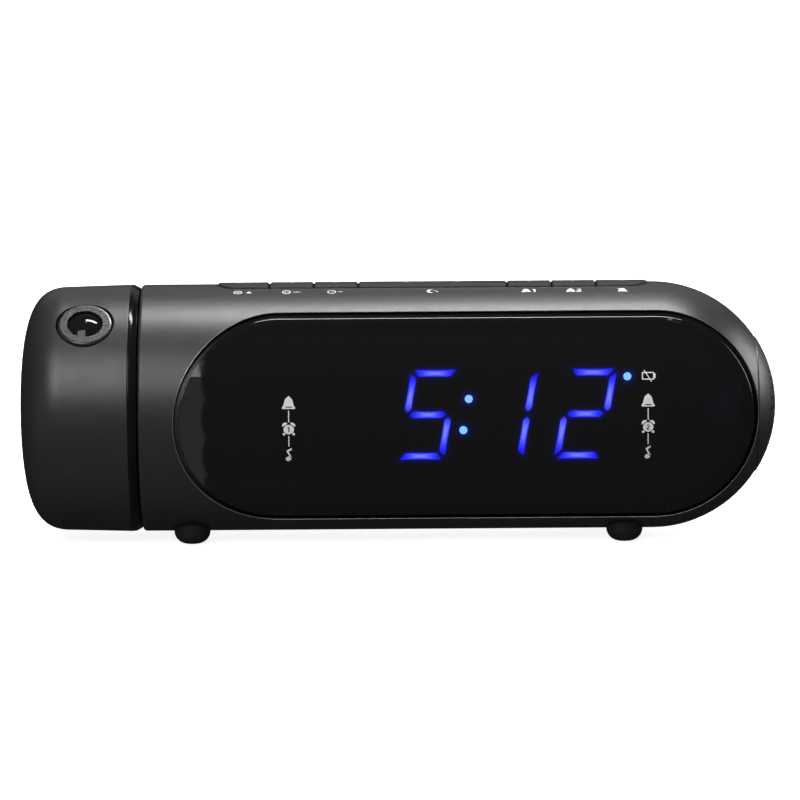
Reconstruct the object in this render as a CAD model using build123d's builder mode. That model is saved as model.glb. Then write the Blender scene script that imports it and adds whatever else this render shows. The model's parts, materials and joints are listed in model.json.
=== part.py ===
from build123d import *
from math import cos, hypot, radians, sin, sqrt, tan
import os

# A projection alarm clock, in millimetres. The body is a capsule that lies along X, flat at its left
# end and domed at its right end. A drum that holds the projector turns on the flat end. The display
# faces -Y, the keys are on top, and the feet stand on z = 0.
# Heights inside the clock are given from its long axis, and y runs from the axis to the back.

# ---------------------------------------------------------------- driving dimensions

CLOCK_LENGTH = 192.0
BODY_R = 31.4
WALL = 2.2
FOOT_DROP = 2.0  # how far the feet reach below the body

# left end: drum, collar and the gap to the body
DRUM_LENGTH = 28.4
DRUM_R = 31.45
DRUM_SHOULDER_R = 31.0
DRUM_SHOULDER_L = 12.2  # length of the drum's rounded end
DRUM_FULLNESS = 0.757  # how square the rounded end is
DRUM_WALL = 2.4
DRUM_RIM_FILLET = 0.25
DRUM_POST_R = 3.0
DRUM_POST_AT = 23.2
COLLAR_T = 2.1
COLLAR_SINK = 0.05  # how far the collar lies below the drum
COLLAR_SLOPE_L = 1.5  # length and height of the slope that falls away towards the body
COLLAR_SLOPE_H = 0.85
COLLAR_SLOPE_FILLET = 1.5
SPIGOT_L = 1.5
SEAM_GAP = 0.4
BODY_RIM_FILLET = 0.8

# right end: speaker and its grille
GRILLE_R = 17.2
GRILLE_PROUD = 0.2
GRILLE_BOSS = 1.6  # how far its middle reaches into the speaker's opening
GRILLE_EDGE = 0.12
GRILLE_HOLE_R = 0.55
GRILLE_RINGS = 4
GRILLE_PITCH = 2.5
SPEAKER_R = 18.0
SPEAKER_OPENING_R = 13.6
SPEAKER_FLANGE_T = 1.0
SPEAKER_DEPTH = 9.6
BASKET_R = 10.5
MAGNET_R = 10.0
MAGNET_T = 5.0

# front window
WINDOW_MARGIN = 5.2  # from the window's edge to the body's top and to its underside
WINDOW_LEFT = -56.3
WINDOW_GROOVE = 1.2
WINDOW_EDGE = 0.1  # rounding of the opening's edge
LENS_EDGE = 0.2  # chamfer of the lens's edge
LENS_PROUD = 0.05
LENS_T = 1.4
ADHESIVE_T = 0.15
LEDGE_T = 2.0
LEDGE_IN = 2.3  # how far the ledge reaches in under the lens
LEDGE_OUT = 1.7

# display
DIGIT_PITCH = 19.8
DIGIT_HALF_H = 11.4
DIGIT_HALF_W = 6.05
LEVEL_W = 1.75  # width of the level segments
LEVEL_HALF_L = 5.25
MIDDLE_HALF_L = 4.65
SIDE_W = 1.65
SIDE_END = 0.95  # from the digit's top to its side segments
SIDE_GAP = 0.55  # from the digit's middle to its side segments
END_CUT = 1.2  # how far the slanted ends are cut back
SEGMENT_DEPTH = 1.5
SEGMENT_PROUD = 0.05
SLANT = 10.0
SHOWN = ("", "acdfg", "bc", "abdeg")  # the lit segments of each digit
FIRST_DIGIT_X = -12.5
DISPLAY_Z = 0.6
COLON_X = 16.9
COLON_HALF = 3.95
INDICATOR_X = 57.4
INDICATOR_Z = 10.0
DOT_R = 1.0
MODULE_H = 30.0
MODULE_DEPTH = 7.9
MODULE_MARGIN = 14.5  # from the first digit's centre to the block's end
MODULE_END = 4.5  # from the indicator to the block's end
MAIN_BOARD_AT = 18.8  # from the body's front to the main board
MAIN_BOARD_LEFT = -48.0
MAIN_BOARD_RIGHT = 67.0
BOARD_T = 1.6

# keys
KEY_ROW_X = 8.8
END_KEY = 13.1
SMALL_KEY = 11.25
SNOOZE_KEY = 37.8
KEY_DEPTH = 10.0
KEY_GAP = 0.4
KEY_SLOT_GAP = 0.35
KEY_PROUD = 0.4
KEY_TRAVEL = 0.6
KEY_EDGE = 0.25
KEY_FLANGE_W = 12.4
KEY_FLANGE_T = 0.9
KEY_OVERHANG = 1.0
KEY_STEM_R = 1.7
KEY_STEM_IN = 1.0
SWITCH_SIZE = 6.0
SWITCH_H = 3.5
KEY_BOARD_W = 15.0

# feet
FOOT_R = 4.6
FOOT_XS = (-52.6, 57.1)
FOOT_Y = 9.8
FOOT_FILLET = 3.2
FOOT_PEG_R = 1.9
FOOT_PEG_L = 6.4

# projector: heights h along its own axis, from the clock's axis to the drum's wall
LENS_ANGLE = 51.0  # above the horizontal, towards the front
TUBE_AT = 17.5  # from the drum's end to the projector's axis
TUBE_R = 9.0
TUBE_NECK_R = 7.0
TUBE_TOP = 24.0
TUBE_STEP = 12.0
CHAMBER_R = 7.6
CHAMBER_TOP = 2.0
LIGHT_BORE_R = 6.2
TUBE_BOTTOM = -6.0
EAR_T = 1.9
EAR_W = 28.0
EAR_BOTTOM = 2.0
EAR_TOP = 10.0
LUG_R = 2.3
FOCUS_RING_R = 7.05
FOCUS_RING_TOP = 31.0
FOCUS_RING_EDGE = 0.8  # rounding of its outer edge
FOCUS_RING_GAP = 0.3
FOCUS_FLANGE_R = 8.6
BARREL_R = 5.45
BARREL_L = 14.0
BARREL_BORE_R = 4.4
GLASS_R = 4.9
GLASS_T = 1.0
GLASS_DOME = 1.4
LCD_SIDE = 10.4
LCD_T = 1.6
CONDENSER_T = 1.0
CONDENSER_R = 5.2
CONDENSER_DOME = 1.6
PROJECTOR_BOARD_T = 1.2

# drum bearing
HUB_R = 8.0
HUB_BORE_R = 4.5
THRUST_R = 11.5
BEARING_T = 2.5
BEARING_INSET = 1.15
WASHER_T = 0.6
RETAINER_T = 1.5
RETAINER_R = 12.0
RETAINER_SCREW_AT = 6.25
STOP_R = 15.0  # the stop peg's distance from the axis
STOP_PEG_R = 1.5
DRUM_FORWARD = 51.0  # degrees that the drum turns from rest, towards the front
DRUM_BACKWARD = 129.0

# back: radio board, thumbwheels, jack and backup cell
RADIO_BOARD_Z = -14.0
RADIO_BOARD_LEFT = -9.0
RADIO_BOARD_RIGHT = 56.0
RADIO_BOARD_ROOM = 0.6
WHEEL_R = 9.5
WHEEL_T = 3.0
WHEEL_XS = (2.0, 27.0)
WHEEL_NOTCHES = 48
WHEEL_NOTCH = 0.35
WHEEL_SLOT_GAP = 0.5
POT_SIDE = 8.6
POT_H = 3.4
POT_SHAFT_R = 1.5
JACK_X = 46.0
JACK_W = 9.0
JACK_H = 10.5
JACK_L = 10.0
JACK_NOSE_R = 4.2
JACK_BORE_R = 3.2
JACK_BORE_L = 9.5
JACK_PIN_R = 1.0
DOOR_X = -31.0
DOOR_ANGLE = 45.0  # below the horizontal, towards the back
DOOR_L = 34.0
DOOR_W = 24.0
DOOR_T = 1.8
DOOR_LEDGE = 1.0
CELL_R = 10.0
CELL_T = 3.2
CELL_WELL_L = 25.0
WELL_DEPTH = 7.0
BOX_WALL = 1.2
CONTACT_T = 0.3

# screws
SCREW_R = 1.1
SCREW_HOLE_R = 1.15
SCREW_HEAD_R = 1.9
SCREW_HEAD_H = 1.3
CASE_SCREW_R = 1.25
CASE_HEAD_R = 2.6
CASE_HEAD_H = 2.0

# fits and clearances
RUNNING = 0.05  # radial, between a shaft and its hole
SNUG = 0.1  # between pieces that are fixed together
SLIP = 0.2  # between pieces that pass each other
LOOSE = 0.3  # between a cover and its opening
EPS = 0.01

# ---------------------------------------------------------------- what follows from them

AXIS_Z = BODY_R + FOOT_DROP
CLOCK_AXIS = Axis((0, 0, AXIS_Z), (1, 0, 0))
INNER_R = BODY_R - WALL
DOME_X = CLOCK_LENGTH / 2 - GRILLE_PROUD - BODY_R
DRUM_LEFT = -CLOCK_LENGTH / 2
DRUM_RIGHT = DRUM_LEFT + DRUM_LENGTH
COLLAR_RIGHT = DRUM_RIGHT + COLLAR_T
COLLAR_R = DRUM_R - COLLAR_SINK
BODY_LEFT = COLLAR_RIGHT + SEAM_GAP
BEARING_X = BODY_LEFT + BEARING_INSET
BEARING_RIGHT = BEARING_X + BEARING_T
SPLIT_Y = KEY_DEPTH / 2 + 3.0
WINDOW_HALF = BODY_R - WINDOW_MARGIN
ARC_LEFT = WINDOW_LEFT + WINDOW_HALF
MAIN_BOARD_Y = MAIN_BOARD_AT - BODY_R
TUBE_X = DRUM_LEFT + TUBE_AT


def chord(radius, off):
    """Half the chord of a circle at the distance off from its centre."""
    return sqrt(radius**2 - off**2)


def room_at(x, radius):
    """The radius that a capsule of the given radius has at x."""
    return radius if x <= DOME_X else chord(radius, x - DOME_X)


def section(x):
    """A plane across the clock at x: local x is back, local y is up, and it faces +X."""
    return Plane(origin=(x, 0, AXIS_Z), x_dir=(0, 1, 0), z_dir=(1, 0, 0))


def upright(y):
    """A plane along the clock at y: local x is right, local y is up, and it faces the front."""
    return Plane(origin=(0, y, AXIS_Z), x_dir=(1, 0, 0), z_dir=(0, -1, 0))


def rearward(y):
    """A plane along the clock at y that faces the back: local x is left, local y is up."""
    return Plane(origin=(0, y, AXIS_Z), x_dir=(-1, 0, 0), z_dir=(0, 1, 0))


def level(z):
    """A level plane at the height z from the clock's axis."""
    return Plane.XY.offset(AXIS_Z + z)


def place(x, y, z):
    """A point given from the clock's axis."""
    return (x, y, AXIS_Z + z)


def around(angle, radius):
    """Local coordinates, on a section, of a point at that angle above the front."""
    return (-radius * cos(radians(angle)), radius * sin(radians(angle)))


def capsule(radius, left=BODY_LEFT):
    """A solid capsule about the clock's axis, flat at left and domed at its right end."""
    with BuildPart() as solid:
        with BuildSketch(upright(0)):
            with BuildLine():
                Polyline((DOME_X, radius), (left, radius), (left, 0), (DOME_X + radius, 0))
                RadiusArc((DOME_X, radius), (DOME_X + radius, 0), radius)
            make_face()
        revolve(axis=CLOCK_AXIS)
    return solid.part


def drum_blank(inset):
    """The drum's solid of revolution, with its surface set in by that much."""
    radius = DRUM_SHOULDER_R - inset
    left = DRUM_LEFT + inset
    shoulder = DRUM_LEFT + DRUM_SHOULDER_L + inset / 2
    bend = shoulder - DRUM_FULLNESS * (shoulder - left)
    with BuildPart() as solid:
        with BuildSketch(upright(0)):
            with BuildLine():
                Bezier((left, 0), (left, DRUM_FULLNESS * radius), (bend, radius), (shoulder, radius))
                Polyline((shoulder, radius), (DRUM_RIGHT, DRUM_R - inset), (DRUM_RIGHT, 0), (left, 0))
            make_face()
        revolve(axis=CLOCK_AXIS)
    return solid.part


def window_prism(half_height, start=0.0):
    """The window's stadium outline with that half height, from y = -start to the front."""
    with BuildPart() as prism:
        with BuildSketch(upright(-start)):
            with Locations(((ARC_LEFT + DOME_X) / 2, 0)):
                SlotCenterToCenter(DOME_X - ARC_LEFT, 2 * half_height)
        extrude(amount=BODY_R + 10 - start)
    return prism.part


def off_surface(point, radius):
    """How far a point is outside a capsule of that radius."""
    return hypot(max(point.X - DOME_X, 0), point.Y, point.Z - AXIS_Z) - radius


def off_outline(point, half_height):
    """How far a point is outside the window's outline with that half height."""
    aside = point.X - min(max(point.X, ARC_LEFT), DOME_X)
    return hypot(aside, point.Z - AXIS_Z) - half_height


def edges_where(edges, distances):
    """The edges along which every one of the distances is zero."""
    return [
        edge
        for edge in edges
        if all(abs(distance(edge @ at)) < EPS for distance in distances for at in (0, 0.5, 1))
    ]


def window_edges(edges, half_height, radius):
    """The edges where a window outline of that half height meets a capsule of that radius."""
    return edges_where(
        edges, [lambda p: off_surface(p, radius), lambda p: off_outline(p, half_height)]
    )


def add_post(plane, spots, radius, length, mode=Mode.ADD):
    """Round posts, or holes, on a plane at those spots."""
    with BuildSketch(plane) as outline:
        with Locations(*spots):
            Circle(radius)
    extrude(outline.sketch, amount=length, mode=mode)


def add_block(plane, spots, width, height, depth, mode=Mode.ADD):
    """Square blocks, or pockets, on a plane at those spots."""
    with BuildSketch(plane) as outline:
        with Locations(*spots):
            Rectangle(width, height)
    extrude(outline.sketch, amount=depth, mode=mode)


def cap_radius(half_width, height):
    """The radius of a spherical cap of that half width and height."""
    return (half_width**2 + height**2) / (2 * height)


def add_turned(points, plane, axis, mode=Mode.ADD):
    """A piece turned about an axis, from its half outline on a plane that holds the axis."""
    with BuildSketch(plane) as outline:
        Polygon(*points, align=None)
    revolve(outline.sketch, axis=axis, mode=mode)


def add_screws(plane, spots, length, head_r=SCREW_HEAD_R, head_h=SCREW_HEAD_H, radius=SCREW_R):
    """Pan-head screws: the heads stand on the plane and the shanks go in behind it."""
    add_post(plane, spots, head_r, head_h)
    add_post(plane, spots, radius, -length)
    add_block(plane.offset(head_h), spots, head_r * 1.2, head_r * 0.25, -head_h / 2, Mode.SUBTRACT)
    add_block(plane.offset(head_h), spots, head_r * 0.25, head_r * 1.2, -head_h / 2, Mode.SUBTRACT)


def add_lead(points, radius, bend):
    """A round lead through the points, given from the clock's axis."""
    with BuildLine() as route:
        FilletPolyline(*[place(*p) for p in points], radius=bend)
    with BuildSketch(Plane(origin=route.line @ 0, z_dir=route.line % 0)) as wire:
        Circle(radius)
    sweep(wire.sketch, path=route.line)


def save(part, name):
    """Label a finished piece and write its file."""
    part.label = name
    export_step(part, f"parts/{name}.step")


os.makedirs("parts", exist_ok=True)

# ---------------------------------------------------------------- layout that several pieces share

POCKET_FLOOR_R = BODY_R + LENS_PROUD - LENS_T - ADHESIVE_T
LEDGE_R = POCKET_FLOOR_R - LEDGE_T
THROUGH_HALF = WINDOW_HALF - LEDGE_IN
THROUGH_START = -MAIN_BOARD_Y + 0.4
LENS_HALF = WINDOW_HALF - WINDOW_GROOVE

# display
FACE_Y = MAIN_BOARD_Y - MODULE_DEPTH
MODULE_LEFT = FIRST_DIGIT_X - MODULE_MARGIN
MODULE_RIGHT = INDICATOR_X + MODULE_END
MODULE_X = (MODULE_LEFT + MODULE_RIGHT) / 2
LEAN = tan(radians(SLANT))
DOTS = [(COLON_X + side * COLON_HALF * LEAN, DISPLAY_Z + side * COLON_HALF) for side in (1, -1)]
DOTS.append((INDICATOR_X, INDICATOR_Z))

# keys and key board, by height
KEY_FLANGE_TOP = chord(INNER_R, KEY_FLANGE_W / 2) - LOOSE
KEY_FLANGE_BOTTOM = KEY_FLANGE_TOP - KEY_FLANGE_T
SWITCH_TOP = KEY_FLANGE_BOTTOM - KEY_TRAVEL - 0.9
KEY_BOARD_TOP = SWITCH_TOP - SWITCH_H
KEY_WIDTHS = (END_KEY, SMALL_KEY, SMALL_KEY, SNOOZE_KEY, SMALL_KEY, SMALL_KEY, END_KEY)
KEY_NAMES = (
    "time_key",
    "hour_key",
    "minute_key",
    "snooze_key",
    "alarm_1_key",
    "alarm_2_key",
    "alarm_off_key",
)
KEY_ROW_L = sum(KEY_WIDTHS)
KEY_LEFTS = [KEY_ROW_X - KEY_ROW_L / 2 + sum(KEY_WIDTHS[:i]) for i in range(len(KEY_WIDTHS))]
KEY_CENTRES = [left + width / 2 for left, width in zip(KEY_LEFTS, KEY_WIDTHS)]
KEY_POST_R = 2.0
KEY_POST_END = KEY_ROW_L / 2 + KEY_OVERHANG + LOOSE + KEY_POST_R
KEY_POSTS = (
    (KEY_ROW_X - KEY_POST_END, 0.0),
    (KEY_ROW_X + KEY_POST_END, 0.0),
    (KEY_ROW_X, -KEY_FLANGE_W / 2 - KEY_POST_R - SLIP),
)

# main board, held by four screws
MAIN_BOARD_BACK = MAIN_BOARD_Y + BOARD_T
MAIN_BOARD_HALF = chord(INNER_R, MAIN_BOARD_Y) - 2.1
MAIN_SCREWS = [
    (x, side * (MAIN_BOARD_HALF - 2.1))
    for x in (MAIN_BOARD_LEFT + 6.0, MAIN_BOARD_RIGHT - 5.0)
    for side in (1, -1)
]
MAIN_BOSS_R = 2.8
MAIN_BOSS_L = 5.5
SOCKET_X = -44.0

# speaker, in a groove between two ribs
SPEAKER_X = DOME_X + chord(INNER_R, SPEAKER_R + 1.2)
SPEAKER_RIB_R = SPEAKER_R - 1.5
SPEAKER_RIB_T = 1.5
SPEAKER_BACK = SPEAKER_X - SPEAKER_DEPTH

# housing screws
CASE_SCREWS = [
    (x, side * (room_at(x, INNER_R) - 3.6))
    for x, side in ((-56.0, 1), (72.0, 1), (-7.0, -1), (66.0, -1))
]
FRONT_BOSS_R = 3.2
FRONT_BOSS_L = 13.0
REAR_BOSS_R = 4.2
CASE_SEAT_Y = SPLIT_Y + 3.5
LIP_T = 1.05
LIP_L = 1.5

# radio board
RADIO_BOARD_TOP = RADIO_BOARD_Z + BOARD_T
RADIO_BOARD_FRONT = SPLIT_Y + 1.2
RADIO_BOARD_REAR = chord(INNER_R, RADIO_BOARD_Z) - RADIO_BOARD_ROOM
RADIO_POST_R = 2.4
RADIO_POSTS = ((-5.5, 20.0), (14.5, 11.8), (36.0, 20.0), (51.0, 12.0))
WHEEL_Y = BODY_R - WHEEL_R
WHEEL_Z = RADIO_BOARD_TOP + POT_H + SLIP
WHEEL_TOP = WHEEL_Z + WHEEL_T
WHEEL_SPOTS = [(x, WHEEL_Y) for x in WHEEL_XS]
JACK_Z = RADIO_BOARD_TOP + JACK_H / 2
JACK_Y = chord(INNER_R, RADIO_BOARD_TOP) - 0.4
JACK_MOUTH_Y = chord(BODY_R, JACK_Z) - LOOSE
JACK_FLOOR_Y = JACK_MOUTH_Y - JACK_BORE_L

# battery compartment, measured outwards from the clock's axis
DOOR_PLANE = Plane(
    origin=(DOOR_X, 0, AXIS_Z),
    x_dir=(1, 0, 0),
    z_dir=(0, cos(radians(DOOR_ANGLE)), -sin(radians(DOOR_ANGLE))),
)
DOOR_INNER_R = BODY_R - DOOR_T
WELL_FLOOR = DOOR_INNER_R - WELL_DEPTH
OPENING_L = DOOR_L + 2 * LOOSE
OPENING_W = DOOR_W + 2 * LOOSE
WELL_W = OPENING_W - 2 * DOOR_LEDGE
WELL_LEFT = -OPENING_L / 2 + DOOR_LEDGE
SCREW_WELL_L = OPENING_L - 2 * DOOR_LEDGE - CELL_WELL_L - BOX_WALL
CELL_X = WELL_LEFT + CELL_WELL_L / 2
DOOR_SCREW_X = OPENING_L / 2 - DOOR_LEDGE - SCREW_WELL_L / 2
DOOR_SCREW_SEAT = DOOR_INNER_R + 0.7
DOOR_BOSS_R = 2.8

# drum and projector
PROJECTOR = Plane(
    origin=(TUBE_X, 0, AXIS_Z),
    x_dir=(1, 0, 0),
    z_dir=(0, -cos(radians(LENS_ANGLE)), sin(radians(LENS_ANGLE))),
)
PROJECTOR_SIDE = Plane(origin=PROJECTOR.origin, x_dir=(1, 0, 0), z_dir=-PROJECTOR.y_dir)
PROJECTOR_AXIS = Axis(PROJECTOR.origin, PROJECTOR.z_dir)
COLLAR_LEFT = DRUM_RIGHT - SPIGOT_L
SPIGOT_R = DRUM_R - DRUM_WALL - 0.15
HUB_END = BEARING_RIGHT + RUNNING + WASHER_T + SNUG
STOP_SPOT = around(LENS_ANGLE + 180, STOP_R)
DRUM_POSTS = [around(LENS_ANGLE + turn, DRUM_POST_AT) for turn in (90, -90, 180)]
COLLAR_SEAT_X = COLLAR_RIGHT - SCREW_HEAD_H - SNUG
EAR_X = COLLAR_LEFT - EAR_T
EAR_H = (EAR_BOTTOM + EAR_TOP) / 2
EAR_SPOTS = [
    (side * (EAR_W / 2 - 2.5) * sin(radians(LENS_ANGLE)) - EAR_H * cos(radians(LENS_ANGLE)),
     side * (EAR_W / 2 - 2.5) * cos(radians(LENS_ANGLE)) + EAR_H * sin(radians(LENS_ANGLE)))
    for side in (1, -1)
]
LUG_SPOTS = [(0, side * (TUBE_R + 1.2)) for side in (1, -1)]
RING_BOTTOM = TUBE_TOP + SNUG
SPACER_BOTTOM = CHAMBER_TOP - LCD_T - 2.8
LEAD_R = 1.0
LEAD_X = COLLAR_LEFT + LEAD_R + LOOSE

# ---------------------------------------------------------------- the two housings

with BuildPart() as body_blank:
    add(capsule(BODY_R))
    rim = body_blank.edges().filter_by(GeomType.CIRCLE).sort_by(Axis.X)[0]
    fillet(rim, BODY_RIM_FILLET)

with BuildPart() as speaker_ribs:
    with BuildSketch(section(SPEAKER_X)):
        Circle(SPEAKER_R + 4)
        Circle(SPEAKER_OPENING_R, mode=Mode.SUBTRACT)
    extrude(amount=BODY_R)
    with BuildSketch(section(SPEAKER_X - SPEAKER_FLANGE_T - SNUG)):
        Circle(SPEAKER_R + 7)
        Circle(SPEAKER_RIB_R, mode=Mode.SUBTRACT)
    extrude(amount=-SPEAKER_RIB_T)
    add(capsule(INNER_R + SNUG), mode=Mode.INTERSECT)

with BuildPart() as shell:
    add(body_blank.part)
    add(capsule(INNER_R, BODY_LEFT - 5), mode=Mode.SUBTRACT)
    add_post(section(BEARING_X - RUNNING), [(0, 0)], INNER_R + 0.8, BEARING_T + SNUG, Mode.SUBTRACT)
    add(speaker_ribs.part)
    add_post(section(DOME_X), [(0, 0)], SPEAKER_OPENING_R, BODY_R + 5, Mode.SUBTRACT)

# the tongue along the seam stops short of the bearing plate and the speaker
SEAM_LEFT = BEARING_RIGHT + 1
SEAM_RIGHT = SPEAKER_X - 7
SEAM_X = (SEAM_LEFT + SEAM_RIGHT) / 2

with BuildPart() as seam_tongue:
    add_block(upright(SPLIT_Y + EPS), [(SEAM_X, 0)], SEAM_RIGHT - SEAM_LEFT, 3 * BODY_R, LIP_L + EPS)
    add(capsule(INNER_R + LIP_T), mode=Mode.INTERSECT)
    add(capsule(INNER_R), mode=Mode.SUBTRACT)

with BuildPart() as seam_groove:
    add_block(upright(SPLIT_Y + 1), [(SEAM_X, 0)], SEAM_RIGHT - SEAM_LEFT + 1, 3 * BODY_R, LIP_L + 1.1)
    add(capsule(INNER_R + LIP_T + SNUG), mode=Mode.INTERSECT)
    add(capsule(INNER_R - 1), mode=Mode.SUBTRACT)

with BuildPart() as window_ledge:
    add(window_prism(WINDOW_HALF + LEDGE_OUT, THROUGH_START))
    add(capsule(INNER_R + SNUG), mode=Mode.INTERSECT)
    add(capsule(LEDGE_R), mode=Mode.SUBTRACT)
    flange_slot = section(SPEAKER_X - SPEAKER_FLANGE_T - SNUG)
    add_post(flange_slot, [(0, 0)], SPEAKER_R + SLIP, SPEAKER_FLANGE_T + SNUG, Mode.SUBTRACT)
    add_post(section(DOME_X), [(0, 0)], SPEAKER_OPENING_R, BODY_R, Mode.SUBTRACT)

with BuildPart() as window_pocket:
    add(window_prism(WINDOW_HALF))
    add(capsule(POCKET_FLOOR_R), mode=Mode.SUBTRACT)

with BuildPart() as front_posts:
    add_post(upright(SPLIT_Y - RUNNING), CASE_SCREWS, FRONT_BOSS_R, FRONT_BOSS_L)
    add_post(upright(MAIN_BOARD_Y), MAIN_SCREWS, MAIN_BOSS_R, MAIN_BOSS_L)
    add_post(level(KEY_BOARD_TOP), KEY_POSTS, KEY_POST_R, BODY_R - KEY_BOARD_TOP)
    add(capsule(INNER_R + WALL / 2), mode=Mode.INTERSECT)

with BuildPart() as front_housing:
    add(shell.part)
    split(bisect_by=Plane.XZ.offset(-SPLIT_Y), keep=Keep.TOP)
    add(window_ledge.part)
    add(window_prism(THROUGH_HALF, THROUGH_START), mode=Mode.SUBTRACT)
    add(front_posts.part)
    add(window_pocket.part, mode=Mode.SUBTRACT)
    add(seam_groove.part, mode=Mode.SUBTRACT)
    with BuildSketch(level(KEY_BOARD_TOP + 5)):
        with Locations((KEY_ROW_X, 0)):
            SlotOverall(KEY_ROW_L + 2 * KEY_SLOT_GAP, KEY_DEPTH + 2 * KEY_SLOT_GAP)
    extrude(amount=BODY_R, mode=Mode.SUBTRACT)
    add_post(upright(SPLIT_Y), CASE_SCREWS, CASE_SCREW_R + RUNNING, FRONT_BOSS_L - 1.5, Mode.SUBTRACT)
    add_post(upright(MAIN_BOARD_Y), MAIN_SCREWS, SCREW_HOLE_R, MAIN_BOSS_L - 1, Mode.SUBTRACT)
    add_post(level(KEY_BOARD_TOP), KEY_POSTS, SCREW_HOLE_R, 4, Mode.SUBTRACT)
    foot_spots = [(x, -FOOT_Y) for x in FOOT_XS]
    add_post(level(-BODY_R - 1), foot_spots, FOOT_PEG_R + RUNNING, FOOT_PEG_L + 1.1, Mode.SUBTRACT)
    fillet(window_edges(front_housing.edges(), WINDOW_HALF, BODY_R), WINDOW_EDGE)
save(front_housing.part, "front_housing")

with BuildPart() as rear_posts:
    add_post(upright(SPLIT_Y + RUNNING), CASE_SCREWS, REAR_BOSS_R, -BODY_R)
    add_post(level(RADIO_BOARD_Z), RADIO_POSTS, RADIO_POST_R, -BODY_R)
    box_l, box_w = OPENING_L + 2 * BOX_WALL, OPENING_W + 2 * BOX_WALL
    add_block(DOOR_PLANE.offset(WELL_FLOOR - BOX_WALL), [(0, 0)], box_l, box_w, BODY_R)
    add(capsule(INNER_R + WALL / 2), mode=Mode.INTERSECT)

with BuildPart() as well_inside:
    add_block(DOOR_PLANE.offset(WELL_FLOOR), [(CELL_X, 0)], CELL_WELL_L, WELL_W, BODY_R)
    add_block(DOOR_PLANE.offset(WELL_FLOOR), [(DOOR_SCREW_X, 0)], SCREW_WELL_L, WELL_W, BODY_R)
    with BuildSketch(DOOR_PLANE.offset(WELL_FLOOR)):
        with Locations((CELL_X, 0)):
            Circle(CELL_R + LOOSE + 0.8)
            Circle(CELL_R + LOOSE, mode=Mode.SUBTRACT)
        with Locations((CELL_X + CELL_R, 0)):
            Rectangle(6, 6, mode=Mode.SUBTRACT)
    extrude(amount=CELL_T, mode=Mode.SUBTRACT)
    add_post(DOOR_PLANE.offset(WELL_FLOOR), [(DOOR_SCREW_X, 0)], DOOR_BOSS_R, BODY_R, Mode.SUBTRACT)

with BuildPart() as door_space:
    add_block(DOOR_PLANE, [(0, 0)], OPENING_L, OPENING_W, BODY_R + 5)
    add(capsule(DOOR_INNER_R - RUNNING), mode=Mode.SUBTRACT)

with BuildPart() as rear_housing:
    add(shell.part)
    split(bisect_by=Plane.XZ.offset(-SPLIT_Y), keep=Keep.BOTTOM)
    add(seam_tongue.part)
    add(rear_posts.part)
    add(well_inside.part, mode=Mode.SUBTRACT)
    add(door_space.part, mode=Mode.SUBTRACT)
    add_post(DOOR_PLANE.offset(DOOR_INNER_R), [(DOOR_SCREW_X, 0)], SCREW_HOLE_R, -6, Mode.SUBTRACT)
    add_post(upright(SPLIT_Y), CASE_SCREWS, CASE_SCREW_R + LOOSE, -BODY_R, Mode.SUBTRACT)
    add_post(upright(CASE_SEAT_Y), CASE_SCREWS, CASE_HEAD_R + LOOSE, -BODY_R, Mode.SUBTRACT)
    add_post(level(RADIO_BOARD_Z), RADIO_POSTS, SCREW_HOLE_R, -5, Mode.SUBTRACT)
    foot_spots = [(x, FOOT_Y) for x in FOOT_XS]
    add_post(level(-BODY_R - 1), foot_spots, FOOT_PEG_R + RUNNING, FOOT_PEG_L + 1.1, Mode.SUBTRACT)
    slot_w = 2 * chord(WHEEL_R, chord(INNER_R, WHEEL_Z) - WHEEL_Y) + 2 * WHEEL_SLOT_GAP
    slot_h = WHEEL_T + 2 * WHEEL_SLOT_GAP
    slot_spots = [(x, WHEEL_Z + WHEEL_T / 2) for x in WHEEL_XS]
    add_block(upright(WHEEL_Y), slot_spots, slot_w, slot_h, -BODY_R, Mode.SUBTRACT)
    add_post(upright(JACK_Y), [(JACK_X, JACK_Z)], JACK_NOSE_R + SNUG, -BODY_R, Mode.SUBTRACT)
save(rear_housing.part, "rear_housing")

with BuildPart() as housing_screws:
    back_spots = [(-x, z) for x, z in CASE_SCREWS]
    shank = CASE_SEAT_Y - SPLIT_Y + FRONT_BOSS_L - 2.5
    add_screws(rearward(CASE_SEAT_Y), back_spots, shank, CASE_HEAD_R, CASE_HEAD_H, CASE_SCREW_R)
save(housing_screws.part, "housing_screws")

with BuildPart() as feet:
    foot_spots = [(x, side * FOOT_Y) for x in FOOT_XS for side in (1, -1)]
    add_post(Plane.XY, foot_spots, FOOT_R, BODY_R / 3)
    fillet(feet.edges().group_by(Axis.Z)[0], FOOT_FILLET)
    add(capsule(BODY_R + RUNNING), mode=Mode.SUBTRACT)

    add_post(level(-BODY_R), foot_spots, FOOT_PEG_R, FOOT_PEG_L)
save(feet.part, "feet")

# ---------------------------------------------------------------- window and display

with BuildPart() as display_lens:
    add(capsule(BODY_R + LENS_PROUD))
    add(capsule(BODY_R + LENS_PROUD - LENS_T), mode=Mode.SUBTRACT)
    add(window_prism(LENS_HALF), mode=Mode.INTERSECT)
    chamfer(window_edges(display_lens.edges(), LENS_HALF, BODY_R + LENS_PROUD), LENS_EDGE)
save(display_lens.part, "display_lens")

with BuildPart() as lens_adhesive:
    add(window_prism(LENS_HALF - SNUG))
    add(window_prism(THROUGH_HALF + SNUG), mode=Mode.SUBTRACT)
    add(capsule(POCKET_FLOOR_R + ADHESIVE_T), mode=Mode.INTERSECT)
    add(capsule(POCKET_FLOOR_R), mode=Mode.SUBTRACT)
save(lens_adhesive.part, "lens_adhesive")


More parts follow.
